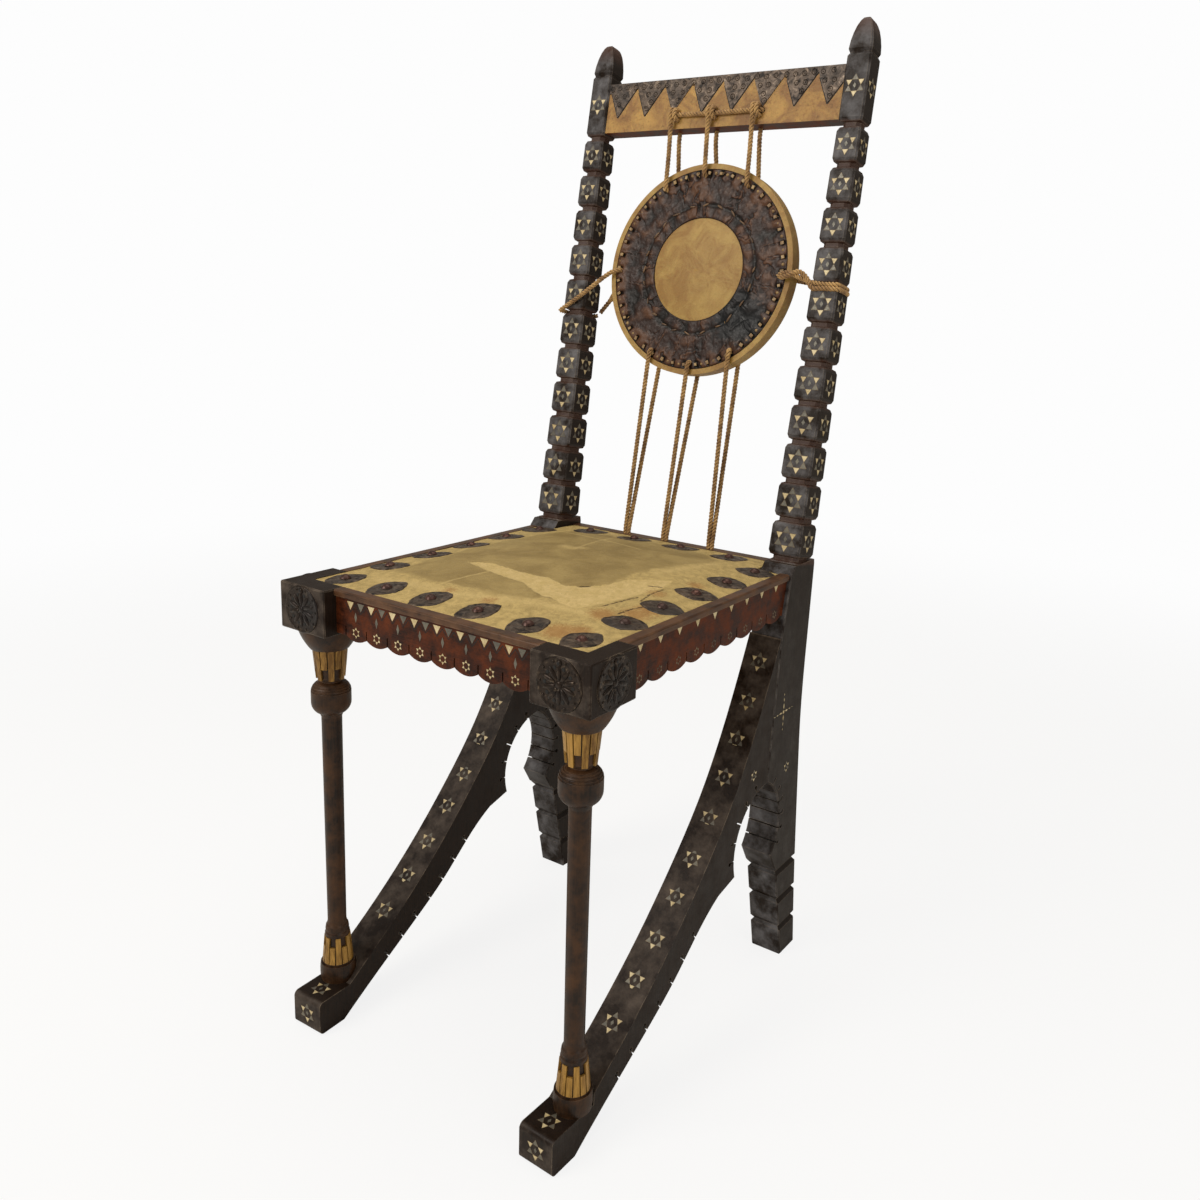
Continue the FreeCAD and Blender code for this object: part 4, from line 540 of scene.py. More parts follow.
# Iron sheet: stamped, browned by rust and rubbed; nails of the same iron, smoother on their domes.
STAMPED = Hide("browned_stamped_iron", "#1d1714", "#54473c", "#948370", "#3c3734", 7.0, 0.5, 0.3, 0.28, 0.5)
NAIL = Hide("browned_iron_nail", "#2c1b17", "#543830", "#835d4d", "#3a2f2c", 3.0, 0.3, 0.4, 0.22, 0.42)
# Bronze: the stamped rosettes of the corner blocks, dark and polished by dusting.
BRONZE = Hide("polished_dark_bronze", "#19120d", "#30261f", "#80705c", "#242122", 4.0, 0.2, 0.5, 0.2, 0.38)
# Chips of inlay, strips of brass with a streaked gilding, and dried or waxed thong.
BONE = Chip("sawn_bone", "#d6c69c", "#b09b6c")
PEWTER = Chip("grey_pewter", "#6f6b5e", "#55524a", metallic=0.2, rough=0.42)
BRASS = Chip("dull_gilt_brass", "#b0873f", "#684818", 2.4, 0.4, 0.4, (1.0, 1.0, 0.12))
PIN = Chip("dried_thong", "#a38757", "#6f5431", 5.0, rough=0.5)
WAXED = Chip("waxed_stitching_thong", "#6f5335", "#3f2c1b", rough=0.5)
# Lines scored in the wood, dark, or rubbed pale with dust and wax; the dark one also serves as painted shadow
# beside the crest's teeth and as painted shade in the rosettes' dimples.
SCORED_AND_SHADE = Chip("scored_line_and_painted_shade", "#0d0a08", "#060504", rough=0.7)
RUBBED = Chip("rubbed_score_line", "#7b6a50", "#4b3f31", 4.0, rough=0.6)
# Hemp: three strands, laid.
ROPE = Twine("laid_hemp_rope")

# The finish of every kind of CAD node, by the beginnings of its nodes' names.
NODE_FINISHES: dict[str, Finish] = {start: finish for finish, starts in (
    (POST, "rear_post"), (EBONISED, "brace corner_block"), (LEG, "front_leg"),
    (MAHOGANY, "front_apron right_apron left_apron crest_rail"),
    (LIP, "front_lip right_lip left_lip rear_lip rear_rail tenon_pegs"),
    (PINE, "seat_board disc_core glue_blocks seat_padding"), (SEAT_SKIN, "seat_vellum"),
    (CREST_SKIN, "crest_vellum"), (SHIELD_SKIN, "disc_hoop disc_centre disc_back"),
    (RING_LEATHER, "disc_leather_ring"), (STAMPED, "block_roundels leaf_plates crest_metal_teeth"),
    (NAIL, "seat_nails crest_stud"), (PIN, "disc_pins"), (BRASS, "leg_top_strips leg_base_strips"),
    (ROPE, "rope_toggle upper_rope lower_rope rail_rope left_tie right_tie"))
    for start in starts.split()}


def ride(piece: bpy.types.Object) -> bpy.types.Object:
    """Fix a piece to the chair's body and log its number of faces."""
    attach(piece, BODY)
    LOG.info("%s: %d faces", piece.name, len(piece.data.polygons))
    return piece


def in_place(mesh: bmesh.types.BMesh, name: str, finishes: list[Finish],
             smooth: bool = False) -> bpy.types.Object:
    """Turn a bmesh into a piece of the chair that rides on its body.

    Args:
        mesh: The built bmesh, in metres, in the row frame; it is freed.
        name: The piece's name.
        finishes: One finish for each material index.
        smooth: Whether faces are shaded smooth.

    Returns:
        The new object.
    """
    data = mesh_of(name, mesh)
    for finish in finishes:
        data.materials.append(finish.material())
    data.polygons.foreach_set("use_smooth", [smooth] * len(data.polygons))
    return ride(linked(name, data))


def thicken(piece: bpy.types.Object, thick: float) -> None:
    """Give a sheet its thickness in mm, inward from its face."""
    wall = piece.modifiers.new("thickness", "SOLIDIFY")
    wall.thickness = thick * MM
    wall.offset = -1.0


def spun(mesh: bmesh.types.BMesh, line: list[Vector], centre: Vector, axis: Vector, steps: int) -> None:
    """Spin a line of points once round an axis.

    Args:
        mesh: The mesh that takes the faces.
        line: The profile's points, in metres.
        centre: A point of the axis.
        axis: The axis.
        steps: Number of steps round.
    """
    corners = [mesh.verts.new(point) for point in line]
    edges = [mesh.edges.new(pair) for pair in zip(corners, corners[1:])]
    bmesh.ops.spin(mesh, geom=[*corners, *edges], cent=centre, axis=axis, angle=FULL_TURN, steps=steps,
                   use_merge=True, dvec=(0.0, 0.0, 0.0))


def surface_of(*nodes: str) -> BVHTree:
    """Search tree over the faces of CAD nodes."""
    corners, faces = [], []
    for name in nodes:
        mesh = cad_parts[name].data
        first = len(corners)
        corners += [vertex.co.copy() for vertex in mesh.vertices]
        faces += [[first + index for index in face.vertices] for face in mesh.polygons]
    return BVHTree.FromPolygons(corners, faces)


def away_from(places: np.ndarray, line: Points) -> np.ndarray:
    """Shortest distance from each place to a line of points.

    Args:
        places: One row of two numbers for each place.
        line: The line's points.

    Returns:
        One distance for each place.
    """
    best = np.full(len(places), np.inf)
    for start, end in zip(line, line[1:]):
        along = np.subtract(end, start)
        share = np.clip((places - start) @ along / (along @ along), 0.0, 1.0)
        best = np.minimum(best, np.linalg.norm(places - start - share[:, None] * along, axis=1))
    return best


def depth_in(places: np.ndarray, outline: Points) -> np.ndarray:
    """How far each place lies inside a closed outline; below zero where it lies outside."""
    closed = (*outline, outline[0])
    across, along = places.T
    inside = np.zeros(len(places), dtype=bool)
    for (x0, y0), (x1, y1) in zip(closed, closed[1:]):
        if y0 != y1:
            inside ^= ((y0 > along) != (y1 > along)) & (across < (x1 - x0) * (along - y0) / (y1 - y0) + x0)
    away = away_from(places, closed)
    return np.where(inside, away, -away)


class Inlay:
    """Flat chips and scored lines, let into the faces that carry them."""

    PROUD = 0.14 * MM
    THICK = 0.7 * MM
    TAPER = 0.95
    LINE_PROUD = 0.4
    # A star's parts as shares of its radius.
    POINT = 0.92 / 3
    LINE = 0.035
    LOZENGE = 0.26
    LOZENGE_WIDTH = 0.62

    def __init__(self, name: str, *nodes: str, finishes: tuple[Finish, ...] = (BONE, PEWTER, SCORED_AND_SHADE, RUBBED)
                 ) -> None:
        """Start an inlay on the named CAD nodes."""
        self.name = name
        self.surface = surface_of(*nodes)
        self.mesh = bmesh.new()
        self.finishes = list(finishes)

    def seat(self, start: Vector, direction: Vector, up: Vector) -> Matrix | None:
        """Find where a line meets the carrier and give a frame there.

        Args:
            start: A point outside the carrier.
            direction: The way to look.
            up: The pattern's upward direction.

        Returns:
            A frame with X to the right, Y up and Z out of the face, or None where nothing is met.
        """
        point, normal, _, _ = self.surface.ray_cast(start, direction.normalized())
        if point is None:
            return None
        if normal.dot(direction) > 0:
            normal = -normal
        high = (up - normal * up.dot(normal)).normalized()
        return Matrix.Translation(point) @ basis(high.cross(normal), high, normal)

    def tile(self, place: Matrix, sides: int, radius: float, at: tuple[float, float] = (0.0, 0.0),
             turn: float = 0.0, squeeze: float = 1.0, finish: Finish = BONE) -> None:
        """Let in one chip with straight sides.

        Args:
            place: The face's frame.
            sides: Number of sides.
            radius: From the centre to a corner, in mm.
            at: Centre on the face, in mm.
            turn: Turn on the face, in radians, from a corner at the top.
            squeeze: Width as a share of the height.
            finish: The chip's material.
        """
        sink = Matrix.Translation((at[0] * MM, at[1] * MM, self.PROUD - self.THICK / 2))
        matrix = place @ sink @ Matrix.Rotation(turn, 4, "Z") @ Matrix.Diagonal((squeeze, 1.0, 1.0, 1.0))
        made = bmesh.ops.create_cone(self.mesh, cap_ends=True, cap_tris=False, segments=sides,
                                     radius1=radius * MM, radius2=radius * MM * self.TAPER, depth=self.THICK,
                                     matrix=matrix)
        self.colour(made["verts"], finish)

    def line(self, place: Matrix, start: tuple[float, float], end: tuple[float, float], width: float,
             finish: Finish = SCORED_AND_SHADE) -> None:
        """Lay one straight line; it serves for scored lines and for lines of painted shadow.

        Args:
            place: The face's frame.
            start: Its first point on the face, in mm.
            end: Its last point, in mm.
            width: Its width, in mm.
            finish: The line's material.
        """
        a, b = Vector((*start, 0)) * MM, Vector((*end, 0)) * MM
        along = b - a
        turn = Matrix.Rotation(math.atan2(along.y, along.x), 4, "Z")
        size = Matrix.Diagonal((along.length, width * MM, self.THICK, 1.0))
        sink = Matrix.Translation((a + b) / 2 + Vector((0, 0, self.PROUD * self.LINE_PROUD - self.THICK / 2)))
        made = bmesh.ops.create_cube(self.mesh, size=1.0, matrix=place @ sink @ turn @ size)
        self.colour(made["verts"], finish)

    def colour(self, corners: list[bmesh.types.BMVert], finish: Finish) -> None:
        """Give the faces of new corners their finish."""
        index = self.finishes.index(finish)
        for face in {face for corner in corners for face in corner.link_faces}:
            face.material_index = index

    def star(self, place: Matrix | None, radius: float, single: Finish | None = None) -> None:
        """Let in a six-pointed star of triangles and scored lines, with a lozenge in it.

        Args:
            place: The face's frame, or None to leave the star out.
            radius: From the centre to a point, in mm.
            single: One finish for every triangle, or None for bone and pewter in turn.
        """
        if place is None:
            return
        for point in range(6):
            angle = math.radians(90 + 60 * point)
            centre = (radius * 2 / 3 * math.cos(angle), radius * 2 / 3 * math.sin(angle))
            self.tile(place, 3, radius * self.POINT, centre, angle - math.pi / 2,
                      finish=single or (BONE if point % 2 else PEWTER))
            ahead = angle + math.radians(120)
            tip, other = [(radius * math.cos(a), radius * math.sin(a)) for a in (angle, ahead)]
            self.line(place, tip, other, radius * self.LINE, RUBBED)
        if single is None:
            self.tile(place, 4, radius * self.LOZENGE, squeeze=self.LOZENGE_WIDTH, finish=PEWTER)

    def done(self) -> bpy.types.Object:
        """Make the inlay a piece of the chair."""
        return in_place(self.mesh, self.name, self.finishes)


@dataclass
class BeadedPosts:
    """Inlay of the two leaning posts: a star on three faces of each bead and on the head block."""

    seat_end: tuple[float, float] = (37.5, 37.0)
    head_end: tuple[float, float] = (27.5, 25.9)
    head_star: float = 511.0

    def build(self) -> None:
        """Inlay both posts."""
        for side in Side:
            inlay = Inlay(f"post_inlay_{side.label}", f"rear_post_{side.label}")
            places = [FIRST_NECK + NECK_PITCH * (bead + 0.5) for bead in range(BEADS)]
            for s in [*places, self.head_star]:
                self.stars_at(inlay, side, s)
            inlay.done()

    def stars_at(self, inlay: Inlay, side: Side, s: float, clear: float = 60.0) -> None:
        """Stars on the front, outer and inner face at one height.

        Args:
            inlay: The post's inlay.
            side: The post's side.
            s: Height along the post, in mm.
            clear: How far from the post the search for a face begins, in mm.
        """
        rise = min(1.0, (s - FIRST_NECK) / (NECK_PITCH * BEADS))
        width, depth = (low + (high - low) * rise for low, high in zip(self.seat_end, self.head_end))
        across = side.value * (HALF_WIDTH - width / 2)
        radius = 6.0 + 0.21 * width
        inlay.star(inlay.seat(leaning(across, -clear, s), LEAN_BACK, LEAN_UP), radius)
        for way in (1, -1):
            start = leaning(across + way * clear, depth / 2, s)
            inlay.star(inlay.seat(start, Vector((-way, 0, 0)), LEAN_UP), radius * 0.9)


@dataclass
class Braces:
    """Inlay along the curved top edge of each brace, on its foot, and on the side of the legs."""

    track: float = 151.5
    toe: float = math.radians(1.5)
    tops: Points = ((338, 367), (315.5, 331), (296, 294), (273, 261), (246, 226), (217, 194), (191, 163),
                    (159.5, 132), (127, 105.5), (92, 81))
    last: tuple[float, float] = (60, 59)
    star: float = 10.5
    cross_place: tuple[float, float] = (358, 311.5)
    cross_tiles: Points = ((6.5, 3.6), (14.0, 2.2), (20.0, 1.5))
    cross_squeeze: float = 0.32
    cross_middle: float = 2.4
    leg_stars: Points = ((301, 258), (374, 242))
    leg_star: float = 6.5

    def above(self, side: Side, y: float, z: float, at: float | None = None) -> Vector:
        """Point over a brace's middle plane, taken at y or at another depth."""
        across = self.track + math.tan(self.toe) * (y if at is None else at)
        return upright(side.value * across, y, z)

    def build(self) -> None:
        """Inlay both braces and the sides of the rear legs."""
        for side in Side:
            inlay = Inlay(f"brace_inlay_{side.label}", f"brace_{side.label}", f"rear_post_{side.label}")
            for (y, z), (ahead, under) in zip(self.tops, (*self.tops[1:], self.last)):
                way = Vector((0, y - ahead, z - under)).normalized()
                normal = Vector((0, -way.z, way.y))
                inlay.star(inlay.seat(self.above(side, y, z) + normal * 30 * MM, -normal, way), self.star)
            inlay.star(inlay.seat(self.above(side, 5, 80), -UP, BACK), self.star)
            inlay.star(inlay.seat(self.above(side, -60, 18, at=-13), BACK, UP), self.star)
            self.cross(inlay, side)
            inlay.done()

    def cross(self, inlay: Inlay, side: Side) -> None:
        """Thin cross star and small stars on the outer side of a leg."""
        out, far = Vector((-side.value, 0, 0)), side.value * BESIDE
        face = inlay.seat(upright(far, *self.cross_place), out, UP)
        if face is None:
            return
        for angle in (math.radians(90 * quarter) for quarter in range(4)):
            for reach, size in self.cross_tiles:
                inlay.tile(face, 4, size, (reach * math.cos(angle), reach * math.sin(angle)),
                           angle - math.pi / 2, self.cross_squeeze)
        inlay.tile(face, 4, self.cross_middle, turn=math.pi / 4)
        for y, z in self.leg_stars:
            inlay.star(inlay.seat(upright(far, y, z), out, UP), self.leg_star)


@dataclass
class Aprons:
    """Inlay of the three scalloped aprons."""

    scallops: int = 8
    pitch: float = 28.0
    tooth_level: float = 453.6
    star_level: float = 427.0
    side_scallops: int = 9
    side_start: float = 84.5
    side_pitch: float = 30.7
    side_tooth_level: float = 455.5
    tooth: float = 5.4
    star: float = 5.4
    zigzag_deep: float = 7.4
    zigzag_width: float = 0.8
    lozenge_rise: float = 15.0
    lozenge_squeeze: float = 0.34
    side_tooth: float = 4.6
    side_star: float = 4.6

    def build(self) -> None:
        """Inlay the front apron and both side aprons."""
        self.front()
        for side in Side:
            self.flank(side)

    def front(self) -> None:
        """Teeth, zigzag, lozenges and stars on the front apron."""
        inlay = Inlay("front_apron_inlay", "front_apron")
        half = self.pitch / 4
        for number in range(2 * self.scallops):
            x = (number - self.scallops + 0.5) * self.pitch / 2
            face = inlay.seat(upright(x, BEFORE, self.tooth_level), BACK, UP)
            if face is not None:
                inlay.tile(face, 3, self.tooth, turn=math.pi, finish=PEWTER if number % 2 else BONE)
                for way in (-1, 1):
                    inlay.line(face, (way * half, 1.0), (0.0, -self.zigzag_deep), self.zigzag_width)
        for number in range(self.scallops):
            x = (number - (self.scallops - 1) / 2) * self.pitch
            face = inlay.seat(upright(x, BEFORE, self.star_level), BACK, UP)
            if face is not None:
                inlay.star(face, self.star, BONE)
                inlay.tile(face, 4, self.star, (0.0, self.lozenge_rise), squeeze=self.lozenge_squeeze,
                           finish=PEWTER)
        inlay.done()

    def flank(self, side: Side) -> None:
        """Single teeth and stars on a side apron."""
        inlay = Inlay(f"{side.label}_apron_inlay", f"{side.label}_apron")
        out, far = Vector((-side.value, 0, 0)), side.value * BESIDE
        for number in range(self.side_scallops):
            y = self.side_start + self.side_pitch * number
            face = inlay.seat(upright(far, y, self.side_tooth_level), out, UP)
            if face is not None:
                inlay.tile(face, 3, self.side_tooth, turn=math.pi)
            face = inlay.seat(upright(far, y, self.star_level), out, UP)
            inlay.star(face, self.side_star, RUBBED)
        inlay.done()


@dataclass
class Rope:
    """One lashing of the shield, laid up from three strands along its route."""

    name: str
    route: list[Vector]
    diameter: float = 5.7
    lay: float = 12.0
    strands: int = 3
    strand_share: float = 0.228
    step: float = 1.1

    @staticmethod
    def meshed(name: str, curve: bpy.types.Curve) -> bpy.types.Mesh:
        """Mesh of a curve."""
        guide = bpy.data.objects.new(name, curve)
        mesh = bpy.data.meshes.new_from_object(guide)
        bpy.data.objects.remove(guide)
        return mesh

    def centreline(self) -> list[Vector]:
        """Evenly spaced points along the smooth line of the route, in metres."""
        curve = bpy.data.curves.new(f"{self.name}_route", "CURVE")
        curve.dimensions = "3D"
        spline = curve.splines.new("NURBS")
        spline.points.add(len(self.route) - 1)
        for point, target in zip(spline.points, self.route):
            point.co = (*target, 1.0)
        spline.order_u = 3
        spline.use_endpoint_u = True
        spline.resolution_u = 24
        mesh = self.meshed(curve.name, curve)
        points = np.array([tuple(vertex.co) for vertex in mesh.vertices])
        bpy.data.curves.remove(curve)
        bpy.data.meshes.remove(mesh)
        along = np.concatenate([[0.0], np.cumsum(np.linalg.norm(np.diff(points, axis=0), axis=1))])
        even = np.linspace(0.0, along[-1], max(8, int(along[-1] / (self.step * MM))))
        spread = [np.interp(even, along, points[:, axis]) for axis in range(3)]
        return [Vector(place) for place in zip(*spread)]

    def build(self, *nodes: str) -> bpy.types.Object:
        """Lay up the strands and let them stand for the rope's CAD nodes.

        Args:
            nodes: The CAD nodes that the rope replaces.

        Returns:
            The rope's object.
        """
        line = self.centreline()
        curve = bpy.data.curves.new(self.name, "CURVE")
        curve.dimensions = "3D"
        curve.bevel_mode = "ROUND"
        strand_radius = self.diameter * self.strand_share
        curve.bevel_depth = strand_radius * MM
        curve.bevel_resolution = 1
        curve.use_fill_caps = True
        splines = [curve.splines.new("POLY") for _ in range(self.strands)]
        for spline in splines:
            spline.points.add(len(line) - 1)
        side = (line[1] - line[0]).orthogonal().normalized()
        reach = (self.diameter / 2 - strand_radius) * MM
        run = 0.0
        for index, point in enumerate(line):
            before = line[max(index - 1, 0)]
            tangent = (line[min(index + 1, len(line) - 1)] - before).normalized()
            side = (side - tangent * side.dot(tangent)).normalized()
            other = tangent.cross(side)
            run += (point - before).length
            for strand, spline in enumerate(splines):
                angle = FULL_TURN * (run / (self.lay * MM) + strand / self.strands)
                offset = side * math.cos(angle) + other * math.sin(angle)
                spline.points[index].co = (*(point + offset * reach), 1.0)
        mesh = self.meshed(self.name, curve)
        mesh.name = self.name
        mesh.materials.clear()
        mesh.materials.append(ROPE.material())
        mesh.polygons.foreach_set("use_smooth", [True] * len(mesh.polygons))
        piece = ride(linked(self.name, mesh))
        if nodes:
            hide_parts(*nodes)
        LOG.info("%s: %.0f mm long", self.name, run / MM)
        return piece


@dataclass
class Lashings:
    """The ropes that hang and tie the shield in the back; places are sideways, depth and height."""

    hole_radius: float = 106.0
    near: float = SHIELD_FRONT - 5.0
    far: float = SHIELD_FRONT + 16.5 + 5.0
    upper: tuple[float, ...] = (-31.4, -2.9, 29.0)
    lower: tuple[float, ...] = (206.6, 176.3, 147.0)
    ties: tuple[float, ...] = (-91.7, 92.7)
    seat_places: tuple[float, ...] = (-64.08, -9.72, 53.1)
    aside: float = 2.365
    slot_back: float = 399.5

    def hole(self, angle: float) -> tuple[float, float]:
        """Sideways place and height of a rope hole in the shield."""
        turn = math.radians(angle)
        return self.hole_radius * math.sin(turn), SHIELD_HEIGHT + self.hole_radius * math.cos(turn)

    def through(self, x: float, s: float) -> list[tuple[float, float, float]]:
        """Places of a route in a hole of the shield, from front to back."""
        near, far = self.near, self.far
        return [(x, near + 1.5, s), (x, near + 5.0, s), (x, far - 5.0, s), (x, far - 1.5, s)]

    @staticmethod
    def lash(name: str, route: list[tuple[float, float, float]], *nodes: str) -> None:
        """Lay one rope along places of the leaning back."""
        Rope(name, [leaning(*place) for place in route]).build(*nodes)

    def build(self) -> None:
        """Lay every rope."""
        self.hang()
        self.stay()
        self.tie()

    def hang(self) -> None:
        """Ropes from the crest rail down through the shield and back up, and the one along the rail."""
        for number, angle in enumerate(self.upper, start=1):
            x, s = self.hole(angle)
            self.lash(f"shield_hanger_{number}", [
                (x, 2.6, 497.6), (x, -1.2, 498.6), (x, -5.6, 497.0), (x, -6.2, 491.0), (x, -3.4, 484.0),
                (x, 1.2, 450.0), (x, self.near - 0.6, s + 12.0), (x, self.near, s + 3.0),
                *self.through(x, s), (x, self.far, s + 3.0), (x, self.far - 1.0, s + 12.0),
                (x, 18.9, 465.0), (x, 18.5, 476.0), (x, 18.5, 489.3)], f"upper_rope_{number}")
            self.lash(f"rail_hitch_{number}", [
                (x + 5.4, 2.6, 487.0), (x + 5.2, -2.0, 486.4), (x + 4.8, -5.8, 489.0),
                (x + 4.6, -5.9, 495.0), (x + 4.4, -1.6, 498.4), (x + 4.2, 2.6, 497.4)])
        end, level = 59.5, 492.6
        self.lash("rail_lashing", [
            (-end, 4.0, level), (-end, 1.0, level), (-end + 2, -0.4, level), (0, -0.4, level - 1.0),
            (end - 2, -0.4, level), (end, 1.0, level), (end, 4.0, level)], "rail_rope")

    def rise(self, x: float, hole: Vector) -> list[Vector]:
        """Points from a slot at the back of the seat up to a hole of the shield."""
        low, foot = upright(x, self.slot_back, 449.0), upright(x, self.slot_back, 469.3)
        way = (hole - foot).normalized()
        return [low, upright(x, self.slot_back, 466.0), foot + way * 0.002, foot + way * 0.012,
                hole - way * 0.012, hole - way * 0.003]

    def stay(self) -> None:
        """Ropes from the back of the seat up through the shield and down again."""
        for number, (angle, seat) in enumerate(zip(self.lower, self.seat_places), start=1):
            x, s = self.hole(angle)
            climb = self.rise(seat - self.aside, leaning(x, self.near, s))
            fall = self.rise(seat + self.aside, leaning(x, self.far, s))
            inner = [leaning(*place) for place in self.through(x, s)]
            Rope(f"shield_stay_{number}", [*climb, *inner, *reversed(fall)]).build(f"lower_rope_{number}")

    def tie(self) -> None:
        """Ropes that tie the shield to the necks of the posts."""
        near, far = self.near, self.far
        x, s = self.hole(self.ties[0])
        neck = 263.25
        self.lash("left_tie", [
            (-149.2, 29.7, neck), (-160.0, 29.7, neck), (-179.5, 29.7, neck), (-182.45, 29.7, neck),
            (-182.45, 27.0, neck), (-182.45, 1.0, neck), (-182.45, -2.45, 263.3), (-179.5, -2.6, 265.0),
            (-149.2, -3.93, 284.1), (x - 12.0, near - 1.2, s - 3.5), (x - 3.0, near, s - 1.0),
            *self.through(x, s), (x - 3.0, far, s - 3.0), (-144.9, 29.7, 267.55)], "left_tie_rope")
        x, s = self.hole(self.ties[1])
        neck = 305.0
        self.lash("right_tie", [
            (150.11, 28.69, neck), (160.0, 28.69, neck), (175.5, 28.69, neck), (178.75, 28.69, neck),
            (178.75, 25.5, neck), (178.75, 4.5, neck), (178.75, 1.25, neck), (175.5, 1.25, neck),
            (150.11, 1.25, 305.15), (x + 12.0, near - 0.5, s + 4.0), (x + 3.0, near, s + 1.0),
            *self.through(x, s), (x + 3.0, far, s + 1.0), (145.81, 28.69, 309.3)], "right_tie_rope")
        self.lash("right_tie_second", [
            (x + 4.0, near - 1.4, s - 3.0), (x + 16.0, near - 3.6, s - 1.0),
            (x + 26.0, near - 3.4, s + 5.5), (x + 38.0, near - 3.2, s - 3.0), (150.0, -0.6, 299.0),
            (160.0, -0.8, 300.4), (174.0, -0.6, 300.2), (180.6, 0.2, 300.2), (181.0, 6.0, 300.2),
            (180.6, 25.0, 300.2), (178.0, 30.6, 300.2), (160.0, 31.0, 300.2), (148.0, 30.0, 301.0)])


@dataclass
class SeatCover:
    """The vellum drawn over the seat's padding, crowned, pulled down at its nails, worn and torn.

    The worn places are points given in mm: sideways, and back from the chair's front face.
    """

    half: float = 166.85
    front: float = 23.15
    back: float = 393.35
    level: float = 464.2
    rise: float = 13.5
    notch_half: float = 142.35
    notch_front: float = 352.0
    step: float = 1.75
    coarse: float = 6.0
    most_loss: float = 0.6
    most_gain: float = 2.6
    edge_held: float = 9.0
    nail_held: float = 17.0
    nail_dip: float = 0.35
    nail_reach: float = 22.0
    wave_long: float = 70.0
    wave_high: float = 0.5
    pucker_long: float = 12.0
    pucker_high: float = 0.22
    tear_deep: float = 0.45
    tear_soft: float = 2.5
    thick: float = 1.1
    frames: int = 20
    gained: np.ndarray | None = None
    olive: Points = ((-128, 90), (-95, 82), (-60, 76), (-20, 78), (20, 84), (50, 92), (72, 100), (78, 120),
                     (80, 160), (78, 190), (74, 220), (80, 250), (84, 280), (92, 310), (96, 340), (80, 358),
                     (20, 364), (-60, 366), (-110, 356), (-122, 300), (-128, 200))
    tear: Points = ((-82, 143), (-56, 152), (-23, 146), (2, 142), (20, 146), (38, 140), (51, 137), (64, 144),
                    (77, 160), (80, 180), (84, 196), (98, 214), (112, 230), (118, 205), (116, 180),
                    (112, 150), (106, 124), (97, 98), (89, 96), (76, 98), (62, 104), (56, 101), (39, 106),
                    (15, 119), (-9, 122), (-37, 128), (-60, 137))
    streaks: tuple[Points, ...] = (((-112, 60), (-60, 64), (-20, 62), (24, 74), (74, 88), (108, 94)),
                                   ((88, 236), (96, 280), (104, 322)), ((-48, 258), (-36, 254), (-26, 262)))
    seams: tuple[Points, ...] = (((-118, 340), (-50, 326), (17, 310)), ((-28, 250), (-42, 310), (-51, 372)),
                                 ((-50, 73), (-44, 100), (-36, 126)))
    cracks: tuple[Points, ...] = (((110, 118), (114, 140), (118, 162)), ((125, 156), (121, 178), (121, 200)),
                                  ((106, 197), (116, 205)), ((130, 114), (132, 134), (136, 150)),
                                  ((64, 144), (70, 151)))
    rusts: Points = ((118, 47, 15), (130, 56, 12), (122, 103, 12), (142, 126, 13), (143, 142, 12),
                     (124, 186, 7), (20, 66, 6), (-30, 66, 5), (134, 240, 7))

    @property
    def across(self) -> float:
        """Width of the cover."""
        return 2 * self.half

    @property
    def deep(self) -> float:
        """Depth of the cover from front to back."""
        return self.back - self.front

    @staticmethod
    def nails() -> list[tuple[float, float]]:
        """Centres of the leaf plates, where nails pull the cover down."""
        front = [(x, 42.7) for x in (-145, -87, -29, 29, 87, 145)]
        sides = [(x, y) for x in (-147, 147) for y in (101.2, 159.7, 218.2, 276.7, 335.2)]
        return [*front, *sides, *[(x, 369.35) for x in (-96, -32, 32, 96)]]

    def crown(self, x: float, y: float) -> float:
        """Height of the crowned cover above its border."""
        across = 1 - (x / self.half) ** 2
        along = 1 - ((y - (self.front + self.back) / 2) / (self.deep / 2)) ** 2
        return 0.2 * (1 + across) + self.rise * across * along

    def height(self, x: float, y: float) -> float:
        """Height of the cover at a place, with the pull of its nails and soft unevenness."""
        dip = self.nail_dip * math.exp(-(self.from_nail(x, y) / self.nail_reach) ** 2) - self.gain(x, y)
        wave = noise.fractal(Vector((x / self.wave_long, y / self.wave_long, 0.3)), 0.9, 2.0, 4)
        pucker = noise.fractal(Vector((x / self.pucker_long, y / self.pucker_long, 2.0)), 0.9, 2.0, 3)
        return self.level + self.crown(x, y) - dip + self.wave_high * wave + self.pucker_high * pucker

    def from_nail(self, x: float, y: float) -> float:
        """Distance to the nearest nail."""
        return min(math.hypot(x - nail_x, y - nail_y) for nail_x, nail_y in self.nails())

    def held(self, x: float, y: float) -> bool:
        """Whether the cover is nailed down or turned over the board's edge at a place."""
        edge = min(self.half - abs(x), y - self.front, self.back - y)
        post = math.hypot(max(0.0, self.notch_half - abs(x)), max(0.0, self.notch_front - y))
        return min(edge, post) < self.edge_held or self.from_nail(x, y) < self.nail_held

    def shares(self, x: float, y: float) -> tuple[float, float]:
        """How far back and to the right a place lies on the cover, each from 0 to 1."""
        return clamp((y - self.front) / self.deep), clamp((x + self.half) / self.across)

    def grid(self, step: float) -> bmesh.types.BMesh:
        """Flat sheet over the whole seat, in squares of about one step."""
        sheet = bmesh.new()
        place = Matrix.Translation(upright(0, (self.front + self.back) / 2, 0))
        place = place @ Matrix.Diagonal((self.across / 2, self.deep / 2, 1, 1))
        bmesh.ops.create_grid(sheet, x_segments=round(self.across / step),
                              y_segments=round(self.deep / step), size=MM, matrix=place)
        return sheet

